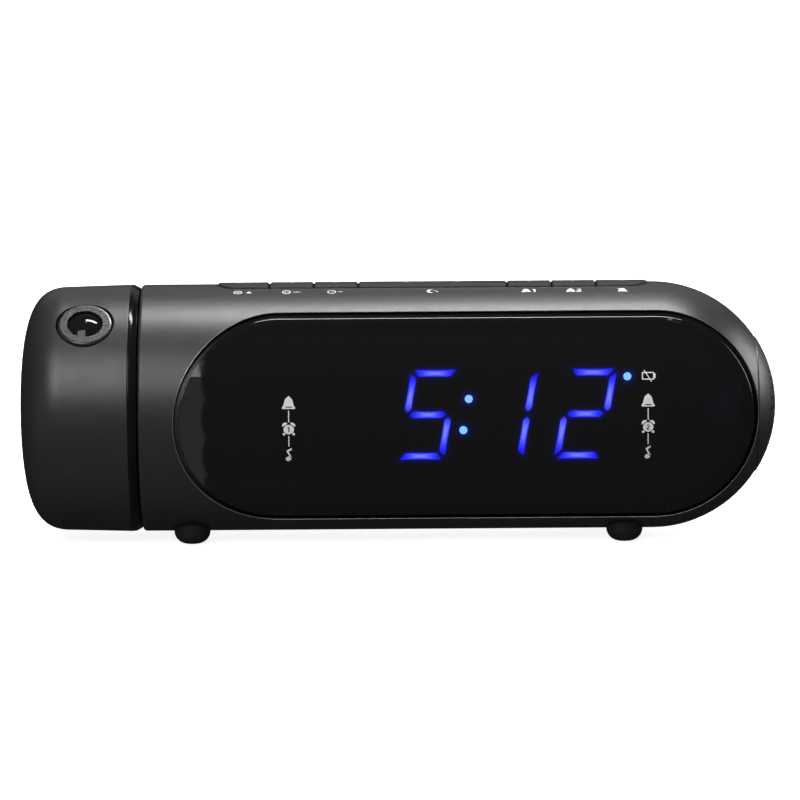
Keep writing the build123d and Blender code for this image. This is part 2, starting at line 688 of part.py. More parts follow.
def segment_outlines():
    """The outlines of a digit's seven segments, a to g, about the digit's centre."""
    w, h, level_l = DIGIT_HALF_W, DIGIT_HALF_H, LEVEL_HALF_L
    level_bar = [(-level_l, h), (level_l, h), (level_l - END_CUT, h - LEVEL_W), (END_CUT - level_l, h - LEVEL_W)]
    side_bar = [
        (-w, h - SIDE_END),
        (SIDE_W - w, h - SIDE_END - END_CUT),
        (SIDE_W - w, SIDE_GAP + SIDE_W / 2),
        (SIDE_W / 2 - w, SIDE_GAP),
        (-w, SIDE_GAP + SIDE_W / 2),
    ]
    tip, half_w = MIDDLE_HALF_L, LEVEL_W / 2
    middle_bar = [(-tip, 0), (-tip + half_w, half_w), (tip - half_w, half_w)]
    middle_bar += [(-x, -z) for x, z in middle_bar]
    turned = {
        "a": (level_bar, 1, 1),
        "b": (side_bar, -1, 1),
        "c": (side_bar, -1, -1),
        "d": (level_bar, 1, -1),
        "e": (side_bar, 1, -1),
        "f": (side_bar, 1, 1),
        "g": (middle_bar, 1, 1),
    }
    return {
        name: [(side * x + flip * z * LEAN, flip * z) for x, z in outline]
        for name, (outline, side, flip) in turned.items()
    }


SEGMENTS = segment_outlines()


def add_segments(lit):
    """Bars for either the lit or the unlit segments of all the digits."""
    with BuildSketch(upright(FACE_Y + SEGMENT_DEPTH)) as bars:
        for index, shown in enumerate(SHOWN):
            with Locations((FIRST_DIGIT_X + index * DIGIT_PITCH, DISPLAY_Z)):
                for name, outline in SEGMENTS.items():
                    if (name in shown) == lit:
                        Polygon(*outline, align=None)
    extrude(bars.sketch, amount=SEGMENT_DEPTH + SEGMENT_PROUD)


with BuildPart() as lit_segments:
    add_segments(True)
save(lit_segments.part, "lit_segments")

with BuildPart() as unlit_segments:
    add_segments(False)
save(unlit_segments.part, "unlit_segments")

with BuildPart() as indicator_dots:
    add_post(upright(FACE_Y + SEGMENT_DEPTH), DOTS, DOT_R, SEGMENT_DEPTH + SNUG)
save(indicator_dots.part, "indicator_dots")

with BuildPart() as display_module:
    add_block(upright(MAIN_BOARD_Y), [(MODULE_X, 0)], MODULE_RIGHT - MODULE_LEFT, MODULE_H, MODULE_DEPTH)
    add(lit_segments.part, mode=Mode.SUBTRACT)
    add(unlit_segments.part, mode=Mode.SUBTRACT)
    add(indicator_dots.part, mode=Mode.SUBTRACT)
save(display_module.part, "display_module")

with BuildPart() as main_board:
    board_l, board_x = MAIN_BOARD_RIGHT - MAIN_BOARD_LEFT, (MAIN_BOARD_RIGHT + MAIN_BOARD_LEFT) / 2
    add_block(upright(MAIN_BOARD_BACK), [(board_x, 0)], board_l, 2 * MAIN_BOARD_HALF, BOARD_T)
    add_post(upright(MAIN_BOARD_BACK), MAIN_SCREWS, SCREW_HOLE_R + SNUG, BOARD_T, Mode.SUBTRACT)
save(main_board.part, "main_board")

with BuildPart() as main_board_screws:
    back_spots = [(-x, z) for x, z in MAIN_SCREWS]
    add_screws(rearward(MAIN_BOARD_BACK), back_spots, BOARD_T + MAIN_BOSS_L - 1.5)
save(main_board_screws.part, "main_board_screws")

# controller, two drivers, three connectors, two capacitors and the drum lead's socket
with BuildPart() as main_board_parts:
    chips = upright(MAIN_BOARD_BACK)
    add_block(chips, [(0, 0)], 14, 14, -1.6)
    add_block(chips, [(-20, 5), (34, 4)], 12, 8, -1.4)
    add_block(chips, [(21.5, 13), (21.5, -12)], 8, 4, -3)
    add_block(chips, [(62, -13.8)], 4, 7, -3)
    add_post(chips, [(46, -6), (46, 6)], 3, -7)
    add_block(chips, [(SOCKET_X, 0)], 6, 6, MAIN_BOARD_BACK - 3)
    add_post(section(SOCKET_X - 4), [(0, 0)], LEAD_R + LOOSE, 5.5, Mode.SUBTRACT)
save(main_board_parts.part, "main_board_parts")

# ---------------------------------------------------------------- keys


def build_key(index):
    """One key: its cap in the slot, its flange under the housing and its stem into the switch."""
    first, last = index == 0, index == len(KEY_WIDTHS) - 1
    left = KEY_LEFTS[index] + (0 if first else KEY_GAP / 2)
    right = KEY_LEFTS[index] + KEY_WIDTHS[index] - (0 if last else KEY_GAP / 2)
    flange_left = left - (KEY_OVERHANG if first else 0)
    flange_right = right + (KEY_OVERHANG if last else 0)
    flange_spot = ((flange_left + flange_right) / 2, 0)
    with BuildPart() as key:
        with BuildSketch(level(KEY_FLANGE_TOP - EPS)):
            with Locations((KEY_ROW_X, 0)):
                SlotOverall(KEY_ROW_L, KEY_DEPTH)
            with Locations(((left + right) / 2, 0)):
                Rectangle(right - left, 2 * KEY_DEPTH, mode=Mode.INTERSECT)
        extrude(amount=BODY_R)
        add(capsule(BODY_R + KEY_PROUD), mode=Mode.INTERSECT)
        chamfer(
            edges_where(key.edges(), [lambda p: off_surface(p, BODY_R + KEY_PROUD)]), KEY_EDGE
        )
        flange_plane = level(KEY_FLANGE_BOTTOM)
        add_block(flange_plane, [flange_spot], flange_right - flange_left, KEY_FLANGE_W, KEY_FLANGE_T)
        stem = KEY_FLANGE_BOTTOM - SWITCH_TOP + KEY_STEM_IN
        add_post(flange_plane.offset(EPS), [(KEY_CENTRES[index], 0)], KEY_STEM_R, -stem - EPS)
    return key.part


for key_index, key_name in enumerate(KEY_NAMES):
    save(build_key(key_index), key_name)

with BuildPart() as key_switches:
    switch_spots = [(x, 0) for x in KEY_CENTRES]
    add_block(level(KEY_BOARD_TOP), switch_spots, SWITCH_SIZE, SWITCH_SIZE, SWITCH_H)
    bore_depth = KEY_STEM_IN + KEY_TRAVEL + SLIP
    add_post(level(SWITCH_TOP), switch_spots, KEY_STEM_R + RUNNING, -bore_depth, Mode.SUBTRACT)
save(key_switches.part, "key_switches")

with BuildPart() as key_board:
    underside = level(KEY_BOARD_TOP - BOARD_T)
    add_block(underside, [(KEY_ROW_X, 0)], 2 * (KEY_POST_END + KEY_POST_R), KEY_BOARD_W, BOARD_T)
    add_block(underside, [KEY_POSTS[2]], 3 * KEY_POST_R, 2 * KEY_POST_R, BOARD_T)
    add_post(underside, KEY_POSTS, SCREW_HOLE_R + SNUG, BOARD_T, Mode.SUBTRACT)
save(key_board.part, "key_board")

with BuildPart() as key_board_screws:
    under = Plane(origin=place(0, 0, KEY_BOARD_TOP - BOARD_T), x_dir=(1, 0, 0), z_dir=(0, 0, -1))
    add_screws(under, [(x, -y) for x, y in KEY_POSTS], BOARD_T + 3.5)
save(key_board_screws.part, "key_board_screws")

# ---------------------------------------------------------------- speaker

with BuildPart() as speaker_frame:
    flange_x = SPEAKER_X - SPEAKER_FLANGE_T
    frame_outline = [
        (SPEAKER_X, SPEAKER_R),
        (SPEAKER_X, SPEAKER_R - 4),
        (flange_x, SPEAKER_R - 4),
        (SPEAKER_BACK + 1, BASKET_R - 1),
        (SPEAKER_BACK + 1, 3.2),
        (SPEAKER_BACK, 3.2),
        (SPEAKER_BACK, BASKET_R),
        (flange_x, SPEAKER_R - 1.8),
        (flange_x, SPEAKER_R),
    ]
    add_turned(frame_outline, upright(0), CLOCK_AXIS)
save(speaker_frame.part, "speaker_frame")

with BuildPart() as speaker_magnet:
    add_post(section(SPEAKER_BACK), [(0, 0)], MAGNET_R, -MAGNET_T)
save(speaker_magnet.part, "speaker_magnet")

with BuildPart() as speaker_cone:
    cone_r = SPEAKER_R - 4.1
    cone_outline = [
        (SPEAKER_X, cone_r),
        (SPEAKER_X - 0.5, cone_r),
        (SPEAKER_BACK + 2.6, 4),
        (SPEAKER_BACK + 2.6, 0),
        (SPEAKER_BACK + 3.2, 0),
        (SPEAKER_BACK + 3.2, 3.8),
    ]
    add_turned(cone_outline, upright(0), CLOCK_AXIS)
save(speaker_cone.part, "speaker_cone")

with BuildPart() as grille_boss:
    add_post(section(DOME_X), [(0, 0)], SPEAKER_OPENING_R - SNUG, BODY_R + 5)
    add(capsule(BODY_R + EPS), mode=Mode.INTERSECT)
    add(capsule(BODY_R - GRILLE_BOSS), mode=Mode.SUBTRACT)

with BuildPart() as speaker_grille:
    add_post(section(DOME_X), [(0, 0)], GRILLE_R, BODY_R + 5)
    add(capsule(BODY_R + GRILLE_PROUD), mode=Mode.INTERSECT)
    add(capsule(BODY_R), mode=Mode.SUBTRACT)
    on_rim = [lambda p: off_surface(p, BODY_R + GRILLE_PROUD), lambda p: hypot(p.Y, p.Z - AXIS_Z) - GRILLE_R]
    fillet(edges_where(speaker_grille.edges(), on_rim), GRILLE_EDGE)
    add(grille_boss.part)
    add_post(section(DOME_X), [(0, 0)], GRILLE_HOLE_R, BODY_R + 5, Mode.SUBTRACT)
    with BuildSketch(section(DOME_X)):
        for ring in range(1, GRILLE_RINGS + 1):
            with PolarLocations(ring * GRILLE_PITCH, 6 * ring):
                Circle(GRILLE_HOLE_R)
    extrude(amount=BODY_R + 5, mode=Mode.SUBTRACT)
save(speaker_grille.part, "speaker_grille")

# ---------------------------------------------------------------- radio board, wheels and jack

with BuildPart() as radio_board:
    with BuildSketch(level(RADIO_BOARD_Z)):
        radio_l = RADIO_BOARD_RIGHT - RADIO_BOARD_LEFT
        with Locations((RADIO_BOARD_LEFT + radio_l / 2, (RADIO_BOARD_FRONT + RADIO_BOARD_REAR) / 2)):
            Rectangle(radio_l, RADIO_BOARD_REAR - RADIO_BOARD_FRONT)
        with Locations(*RADIO_POSTS):
            Circle(SCREW_HOLE_R + SNUG, mode=Mode.SUBTRACT)
    extrude(amount=BOARD_T)
save(radio_board.part, "radio_board")

with BuildPart() as radio_board_screws:
    add_screws(level(RADIO_BOARD_TOP), RADIO_POSTS, BOARD_T + 4)
save(radio_board_screws.part, "radio_board_screws")

with BuildPart() as pot_bodies:
    add_block(level(RADIO_BOARD_TOP), WHEEL_SPOTS, POT_SIDE, POT_SIDE, POT_H)
    add_post(level(RADIO_BOARD_TOP), WHEEL_SPOTS, POT_SHAFT_R, POT_H + SLIP + WHEEL_T + SNUG)
    add_post(level(WHEEL_TOP + SNUG), WHEEL_SPOTS, POT_SHAFT_R / 2 + RUNNING, -3.5, Mode.SUBTRACT)
save(pot_bodies.part, "pot_bodies")

with BuildPart() as wheel_screws:
    add_screws(level(WHEEL_TOP + SNUG), WHEEL_SPOTS, 3, 2.8, 1.0, POT_SHAFT_R / 2)
save(wheel_screws.part, "wheel_screws")


def build_wheel(x):
    """A thumbwheel with a notched rim, on its potentiometer's shaft."""
    with BuildPart() as wheel:
        with BuildSketch(level(WHEEL_Z)):
            with Locations((x, WHEEL_Y)):
                Circle(WHEEL_R)
                Circle(POT_SHAFT_R + RUNNING, mode=Mode.SUBTRACT)
                with PolarLocations(WHEEL_R, WHEEL_NOTCHES):
                    Circle(WHEEL_NOTCH, mode=Mode.SUBTRACT)
        extrude(amount=WHEEL_T)
    return wheel.part


save(build_wheel(WHEEL_XS[0]), "volume_wheel")
save(build_wheel(WHEEL_XS[1]), "tuning_wheel")

with BuildPart() as dc_jack:
    add_block(upright(JACK_Y), [(JACK_X, JACK_Z)], JACK_W, JACK_H, JACK_L)
    add_post(upright(JACK_MOUTH_Y), [(JACK_X, JACK_Z)], JACK_NOSE_R, JACK_MOUTH_Y - JACK_Y + 1)
    add_post(upright(JACK_MOUTH_Y), [(JACK_X, JACK_Z)], JACK_BORE_R, JACK_BORE_L, Mode.SUBTRACT)
save(dc_jack.part, "dc_jack")

with BuildPart() as dc_jack_pin:
    add_post(upright(JACK_FLOOR_Y), [(JACK_X, JACK_Z)], JACK_PIN_R, 1 - JACK_BORE_L)
save(dc_jack_pin.part, "dc_jack_pin")

# ---------------------------------------------------------------- backup cell and its door

with BuildPart() as coin_cell:
    add_post(DOOR_PLANE.offset(WELL_FLOOR + CONTACT_T), [(CELL_X, 0)], CELL_R, CELL_T)
save(coin_cell.part, "coin_cell")

with BuildPart() as cell_contacts:
    add_block(DOOR_PLANE.offset(WELL_FLOOR), [(CELL_X, 0)], 14, 6, CONTACT_T)
    side_l = CELL_WELL_L / 2 - CELL_R
    side_spot = (CELL_X + CELL_R + side_l / 2, 0)
    add_block(DOOR_PLANE.offset(WELL_FLOOR), [side_spot], side_l, 4, CELL_T)
save(cell_contacts.part, "cell_contacts")

with BuildPart() as battery_door:
    add_block(DOOR_PLANE, [(0, 0)], DOOR_L, DOOR_W, BODY_R + 5)
    add(capsule(BODY_R), mode=Mode.INTERSECT)
    add(capsule(DOOR_INNER_R), mode=Mode.SUBTRACT)
    add_post(DOOR_PLANE, [(DOOR_SCREW_X, 0)], SCREW_HOLE_R + SNUG, BODY_R + 5, Mode.SUBTRACT)
    seat = DOOR_PLANE.offset(DOOR_SCREW_SEAT)
    add_post(seat, [(DOOR_SCREW_X, 0)], SCREW_HEAD_R + SNUG, BODY_R, Mode.SUBTRACT)
save(battery_door.part, "battery_door")

with BuildPart() as battery_door_screw:
    add_screws(DOOR_PLANE.offset(DOOR_SCREW_SEAT), [(DOOR_SCREW_X, 0)], 5, head_h=DOOR_T - 0.9)
save(battery_door_screw.part, "battery_door_screw")

# ---------------------------------------------------------------- drum and its bearing

with BuildSketch() as stop_slot:
    stop_from, stop_turn = -LENS_ANGLE - DRUM_BACKWARD, DRUM_BACKWARD + DRUM_FORWARD
    stop_arc = CenterArc((0, 0), STOP_R, stop_from, stop_turn, mode=Mode.PRIVATE)
    SlotArc(stop_arc, 2 * (STOP_PEG_R + SLIP))

with BuildPart() as drum_bearing_plate:
    with BuildSketch(section(BEARING_X)):
        Circle(INNER_R + 0.7)
        Circle(HUB_R + RUNNING, mode=Mode.SUBTRACT)
        add(stop_slot.sketch, mode=Mode.SUBTRACT)
    extrude(amount=BEARING_T)
save(drum_bearing_plate.part, "drum_bearing_plate")

with BuildPart() as drum_posts:
    add_post(section(COLLAR_LEFT), DRUM_POSTS, DRUM_POST_R, -DRUM_LENGTH)
    add(drum_blank(DRUM_WALL / 2), mode=Mode.INTERSECT)

with BuildPart() as drum_shell:
    add(drum_blank(0))
    drum_rim = drum_shell.edges().filter_by(GeomType.CIRCLE).sort_by(Axis.X)[-1]
    fillet(drum_rim, DRUM_RIM_FILLET)
    add(drum_blank(DRUM_WALL), mode=Mode.SUBTRACT)
    add(drum_posts.part)
    add_post(section(COLLAR_LEFT), DRUM_POSTS, SCREW_HOLE_R, -7.5, Mode.SUBTRACT)
    add_post(PROJECTOR.offset(TUBE_TOP - 4), [(0, 0)], FOCUS_RING_R + FOCUS_RING_GAP, BODY_R, Mode.SUBTRACT)
save(drum_shell.part, "drum_shell")

with BuildPart() as drum_collar:
    collar_outline = [
        (COLLAR_LEFT, HUB_BORE_R),
        (COLLAR_LEFT, SPIGOT_R),
        (DRUM_RIGHT, SPIGOT_R),
        (DRUM_RIGHT, COLLAR_R),
        (COLLAR_RIGHT - COLLAR_SLOPE_L, COLLAR_R),
        (COLLAR_RIGHT, COLLAR_R - COLLAR_SLOPE_H),
        (COLLAR_RIGHT, THRUST_R),
        (BEARING_X - SNUG, THRUST_R),
        (BEARING_X - SNUG, HUB_R),
        (HUB_END, HUB_R),
        (HUB_END, HUB_BORE_R),
    ]
    add_turned(collar_outline, upright(0), CLOCK_AXIS)
    rims = drum_collar.edges().filter_by(lambda e: e.geom_type == GeomType.CIRCLE and abs(e.radius - COLLAR_R) < EPS)
    fillet(rims.sort_by(Axis.X)[-1], COLLAR_SLOPE_FILLET)
    add_post(section(COLLAR_RIGHT - EPS), [STOP_SPOT], STOP_PEG_R, BEARING_RIGHT - COLLAR_RIGHT - 1)
    with BuildSketch(section(HUB_END)):
        with PolarLocations(RETAINER_SCREW_AT, 3):
            Circle(SCREW_HOLE_R)
    extrude(amount=-5, mode=Mode.SUBTRACT)
    add_post(section(COLLAR_SEAT_X), DRUM_POSTS, SCREW_HEAD_R + SNUG, 5, Mode.SUBTRACT)
    add_post(section(COLLAR_LEFT), DRUM_POSTS, SCREW_HOLE_R + SNUG, 5, Mode.SUBTRACT)
    add_post(section(COLLAR_LEFT), EAR_SPOTS, SCREW_HOLE_R, 2.5, Mode.SUBTRACT)
    lead_slot = PROJECTOR.offset(-HUB_BORE_R - 7)
    add_block(lead_slot, [(COLLAR_LEFT + 1.25 - TUBE_X, 0)], 2.5, 3, HUB_BORE_R + 7, Mode.SUBTRACT)
save(drum_collar.part, "drum_collar")

with BuildPart() as drum_screws:
    add_screws(section(COLLAR_SEAT_X), DRUM_POSTS, 8)
save(drum_screws.part, "drum_screws")

with BuildPart() as friction_washer:
    with BuildSketch(section(BEARING_RIGHT + RUNNING)):
        Circle(RETAINER_R - 0.2)
        Circle(HUB_R + SNUG, mode=Mode.SUBTRACT)
    extrude(amount=WASHER_T)
save(friction_washer.part, "friction_washer")

with BuildPart() as hub_retainer:
    with BuildSketch(section(HUB_END)):
        Circle(RETAINER_R)
        Circle(HUB_BORE_R, mode=Mode.SUBTRACT)
        with PolarLocations(RETAINER_SCREW_AT, 3):
            Circle(SCREW_HOLE_R + SNUG, mode=Mode.SUBTRACT)
    extrude(amount=RETAINER_T)
save(hub_retainer.part, "hub_retainer")

with BuildPart() as retainer_screws:
    screw_spots = [around(turn, RETAINER_SCREW_AT) for turn in (60, 180, 300)]
    add_screws(section(HUB_END + RETAINER_T), screw_spots, RETAINER_T + 4, head_r=1.7)
save(retainer_screws.part, "retainer_screws")

# ---------------------------------------------------------------- projector

with BuildPart() as projector_tube:
    add_post(PROJECTOR.offset(TUBE_BOTTOM), [(0, 0)], TUBE_R, TUBE_STEP - TUBE_BOTTOM)
    add_post(PROJECTOR.offset(TUBE_STEP - 1), [(0, 0)], TUBE_NECK_R, TUBE_TOP - TUBE_STEP + 1)
    ear_spot = (EAR_X + EAR_T / 2 - TUBE_X, 0)
    add_block(PROJECTOR.offset(EAR_BOTTOM), [ear_spot], EAR_T, EAR_W, EAR_TOP - EAR_BOTTOM)
    add_post(PROJECTOR.offset(TUBE_BOTTOM), LUG_SPOTS, LUG_R, 5)
    add_post(PROJECTOR.offset(TUBE_BOTTOM), LUG_SPOTS, SCREW_HOLE_R, 4, Mode.SUBTRACT)
    add_post(section(EAR_X), EAR_SPOTS, SCREW_HOLE_R + SNUG, EAR_T, Mode.SUBTRACT)
    tube_bore = [
        (0, TUBE_BOTTOM),
        (CHAMBER_R, TUBE_BOTTOM),
        (CHAMBER_R, CHAMBER_TOP),
        (LIGHT_BORE_R, CHAMBER_TOP),
        (LIGHT_BORE_R, TUBE_STEP),
        (BARREL_R + RUNNING, TUBE_STEP),
        (BARREL_R + RUNNING, TUBE_TOP),
        (0, TUBE_TOP),
    ]
    add_turned(tube_bore, PROJECTOR_SIDE, PROJECTOR_AXIS, Mode.SUBTRACT)
save(projector_tube.part, "projector_tube")

with BuildPart() as tube_screws:
    ear_face = Plane(origin=(EAR_X, 0, AXIS_Z), x_dir=(0, -1, 0), z_dir=(-1, 0, 0))
    add_screws(ear_face, [(-y, z) for y, z in EAR_SPOTS], EAR_T + 2.3)
save(tube_screws.part, "tube_screws")

with BuildPart() as focus_ring:
    flange_bottom = RING_BOTTOM + 1.5
    ring_outline = [
        (BARREL_R + RUNNING, RING_BOTTOM),
        (FOCUS_RING_R, RING_BOTTOM),
        (FOCUS_RING_R, flange_bottom),
        (FOCUS_FLANGE_R, flange_bottom),
        (FOCUS_FLANGE_R, flange_bottom + 1.2),
        (FOCUS_RING_R, flange_bottom + 1.2),
        (FOCUS_RING_R, FOCUS_RING_TOP),
        (BARREL_R + RUNNING, FOCUS_RING_TOP),
    ]
    add_turned(ring_outline, PROJECTOR_SIDE, PROJECTOR_AXIS)
    rims = focus_ring.edges().filter_by(lambda e: e.geom_type == GeomType.CIRCLE and e.radius > BARREL_R + RUNNING + EPS)
    fillet(rims.sort_by(PROJECTOR_AXIS)[-1], FOCUS_RING_EDGE)
save(focus_ring.part, "focus_ring")

GLASS_SEAT = FOCUS_RING_TOP - 0.6 - GLASS_T - SNUG

with BuildPart() as lens_barrel:
    barrel_outline = [
        (BARREL_BORE_R, FOCUS_RING_TOP - BARREL_L),
        (BARREL_R, FOCUS_RING_TOP - BARREL_L),
        (BARREL_R, FOCUS_RING_TOP),
        (BARREL_BORE_R + SNUG, FOCUS_RING_TOP),
        (BARREL_BORE_R + SNUG, FOCUS_RING_TOP - 0.6),
        (GLASS_R + RUNNING, FOCUS_RING_TOP - 0.6),
        (GLASS_R + RUNNING, GLASS_SEAT),
        (BARREL_BORE_R, GLASS_SEAT),
    ]
    add_turned(barrel_outline, PROJECTOR_SIDE, PROJECTOR_AXIS)
save(lens_barrel.part, "lens_barrel")

with BuildPart() as projector_lens:
    glass_top = GLASS_SEAT + GLASS_T
    with BuildSketch(PROJECTOR_SIDE):
        with BuildLine():
            Polyline((0, GLASS_SEAT), (GLASS_R, GLASS_SEAT), (GLASS_R, glass_top), (BARREL_BORE_R, glass_top))
            dome_top = (0, glass_top + GLASS_DOME)
            RadiusArc((BARREL_BORE_R, glass_top), dome_top, -cap_radius(BARREL_BORE_R, GLASS_DOME))
            Line(dome_top, (0, GLASS_SEAT))
        make_face()
    revolve(axis=PROJECTOR_AXIS)
save(projector_lens.part, "projector_lens")

with BuildPart() as lcd_panel:
    add_block(PROJECTOR.offset(CHAMBER_TOP), [(0, 0)], LCD_SIDE, LCD_SIDE, -LCD_T)
save(lcd_panel.part, "lcd_panel")

with BuildPart() as lcd_spacer:
    with BuildSketch(PROJECTOR.offset(SPACER_BOTTOM)):
        Circle(CHAMBER_R - SNUG)
        Circle(CHAMBER_R - 2, mode=Mode.SUBTRACT)
    extrude(amount=CHAMBER_TOP - LCD_T - SPACER_BOTTOM)
save(lcd_spacer.part, "lcd_spacer")

with BuildPart() as condenser_lens:
    disc_bottom = SPACER_BOTTOM - CONDENSER_T
    with BuildSketch(PROJECTOR_SIDE):
        with BuildLine():
            Polyline(
                (0, disc_bottom),
                (CHAMBER_R - 1, disc_bottom),
                (CHAMBER_R - 1, TUBE_BOTTOM),
                (CHAMBER_R - SNUG, TUBE_BOTTOM),
                (CHAMBER_R - SNUG, SPACER_BOTTOM),
                (CONDENSER_R, SPACER_BOTTOM),
            )
            dome_top = (0, SPACER_BOTTOM + CONDENSER_DOME)
            RadiusArc((CONDENSER_R, SPACER_BOTTOM), dome_top, -cap_radius(CONDENSER_R, CONDENSER_DOME))
            Line(dome_top, (0, disc_bottom))
        make_face()
    revolve(axis=PROJECTOR_AXIS)
save(condenser_lens.part, "condenser_lens")

with BuildPart() as projector_board:
    add_block(PROJECTOR.offset(TUBE_BOTTOM), [(0, 0)], 17, 27, -PROJECTOR_BOARD_T)
    add_post(PROJECTOR.offset(TUBE_BOTTOM), LUG_SPOTS, SCREW_HOLE_R + SNUG, -PROJECTOR_BOARD_T, Mode.SUBTRACT)
save(projector_board.part, "projector_board")

with BuildPart() as projector_led:
    add_block(PROJECTOR.offset(TUBE_BOTTOM), [(0, 0)], 3.5, 3.5, 1)
    add_post(PROJECTOR.offset(TUBE_BOTTOM + 1), [(0, 0)], 1.3, 1)
save(projector_led.part, "projector_led")

with BuildPart() as projector_board_screws:
    board_back = TUBE_BOTTOM - PROJECTOR_BOARD_T
    behind = Plane(
        origin=PROJECTOR.origin + PROJECTOR.z_dir * board_back, x_dir=(1, 0, 0), z_dir=-PROJECTOR.z_dir
    )
    add_screws(behind, LUG_SPOTS, PROJECTOR_BOARD_T + 3.5)
save(projector_board_screws.part, "projector_board_screws")

# ---------------------------------------------------------------- leads


def in_drum(x, height):
    """A point in the projector's own plane, given from the clock's axis."""
    return (x, -height * cos(radians(LENS_ANGLE)), height * sin(radians(LENS_ANGLE)))


with BuildPart() as projector_lead:
    lead_start = TUBE_BOTTOM - PROJECTOR_BOARD_T
    lead_route = [
        in_drum(TUBE_X + 4, lead_start),
        in_drum(TUBE_X + 4, lead_start - 3.2),
        in_drum(LEAD_X, lead_start - 3.2),
        in_drum(LEAD_X, 0),
        (SOCKET_X, 0, 0),
    ]
    add_lead(lead_route, LEAD_R, 1.8)
save(projector_lead.part, "projector_lead")

with BuildPart() as speaker_leads:
    add_lead([(78.5, -2, -12.8), (62, -2, -12.8), (62, MAIN_BOARD_BACK + 3, -12.8)], 0.6, 2)
    add_lead([(83, -2, -15.2), (62, -2, -15.2), (62, MAIN_BOARD_BACK + 3, -15.2)], 0.6, 2)
save(speaker_leads.part, "speaker_leads")

with BuildPart() as board_leads:
    for lead_x in (19.5, 21.5, 23.5):
        up, down = MAIN_BOARD_BACK + 1.5, RADIO_BOARD_Z - 3
        add_lead([(lead_x, up, 15), (lead_x, up, 17.8), (lead_x, -5, 17.8), (lead_x, -5, KEY_BOARD_TOP - BOARD_T)], 0.6, 1)
        add_lead([(lead_x, up, -14), (lead_x, up, down), (lead_x, 11.5, down), (lead_x, 11.5, RADIO_BOARD_Z)], 0.6, 1)
save(board_leads.part, "board_leads")
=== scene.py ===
import json
import math

import bmesh
import bpy
from mathutils import Matrix, Vector
from mathutils.bvhtree import BVHTree


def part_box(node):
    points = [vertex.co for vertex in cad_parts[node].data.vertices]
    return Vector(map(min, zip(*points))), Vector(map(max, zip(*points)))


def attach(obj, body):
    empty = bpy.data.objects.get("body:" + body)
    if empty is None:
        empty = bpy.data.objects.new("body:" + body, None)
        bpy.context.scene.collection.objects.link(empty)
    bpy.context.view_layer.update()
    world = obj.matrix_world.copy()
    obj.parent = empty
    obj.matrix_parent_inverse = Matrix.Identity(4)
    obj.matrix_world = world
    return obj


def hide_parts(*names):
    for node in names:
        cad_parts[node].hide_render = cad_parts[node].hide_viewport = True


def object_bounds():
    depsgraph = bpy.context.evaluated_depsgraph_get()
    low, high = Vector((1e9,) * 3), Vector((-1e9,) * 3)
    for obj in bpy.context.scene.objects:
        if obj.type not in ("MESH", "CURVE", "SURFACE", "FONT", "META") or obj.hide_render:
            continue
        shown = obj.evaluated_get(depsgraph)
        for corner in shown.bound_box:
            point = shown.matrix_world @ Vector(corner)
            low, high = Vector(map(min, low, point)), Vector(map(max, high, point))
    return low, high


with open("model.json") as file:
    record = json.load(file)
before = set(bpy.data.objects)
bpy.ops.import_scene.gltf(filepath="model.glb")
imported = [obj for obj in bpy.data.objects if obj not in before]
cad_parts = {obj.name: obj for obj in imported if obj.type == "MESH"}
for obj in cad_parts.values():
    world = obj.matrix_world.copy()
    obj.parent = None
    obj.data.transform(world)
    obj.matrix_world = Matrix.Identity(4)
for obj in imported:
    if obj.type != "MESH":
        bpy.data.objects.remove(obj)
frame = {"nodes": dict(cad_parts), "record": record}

for stray in ("Cube", "Light", "Camera"):
    if stray in bpy.data.objects:
        bpy.data.objects.remove(bpy.data.objects[stray])

cad_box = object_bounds()
MM = 0.001
AXIS_Z = 33.4
LENS_R = 31.45
BODY_R = 31.4
OPENING_HALF = 26.2  # half the height of the window's opening
WINDOW_X = 15.0  # near the window's middle
GRILLE_PROUD = 0.2  # how far the grille stands out at the right tip
DISPLAY_FACE_Y = -20.5
WINDOW_ALPHA = 0.75
ACRYLIC_IOR = 1.49
SEEN = (1.0 - WINDOW_ALPHA) ** 2  # the share of a display's light that leaves the window

# ------------------------------------------------------------------ materials


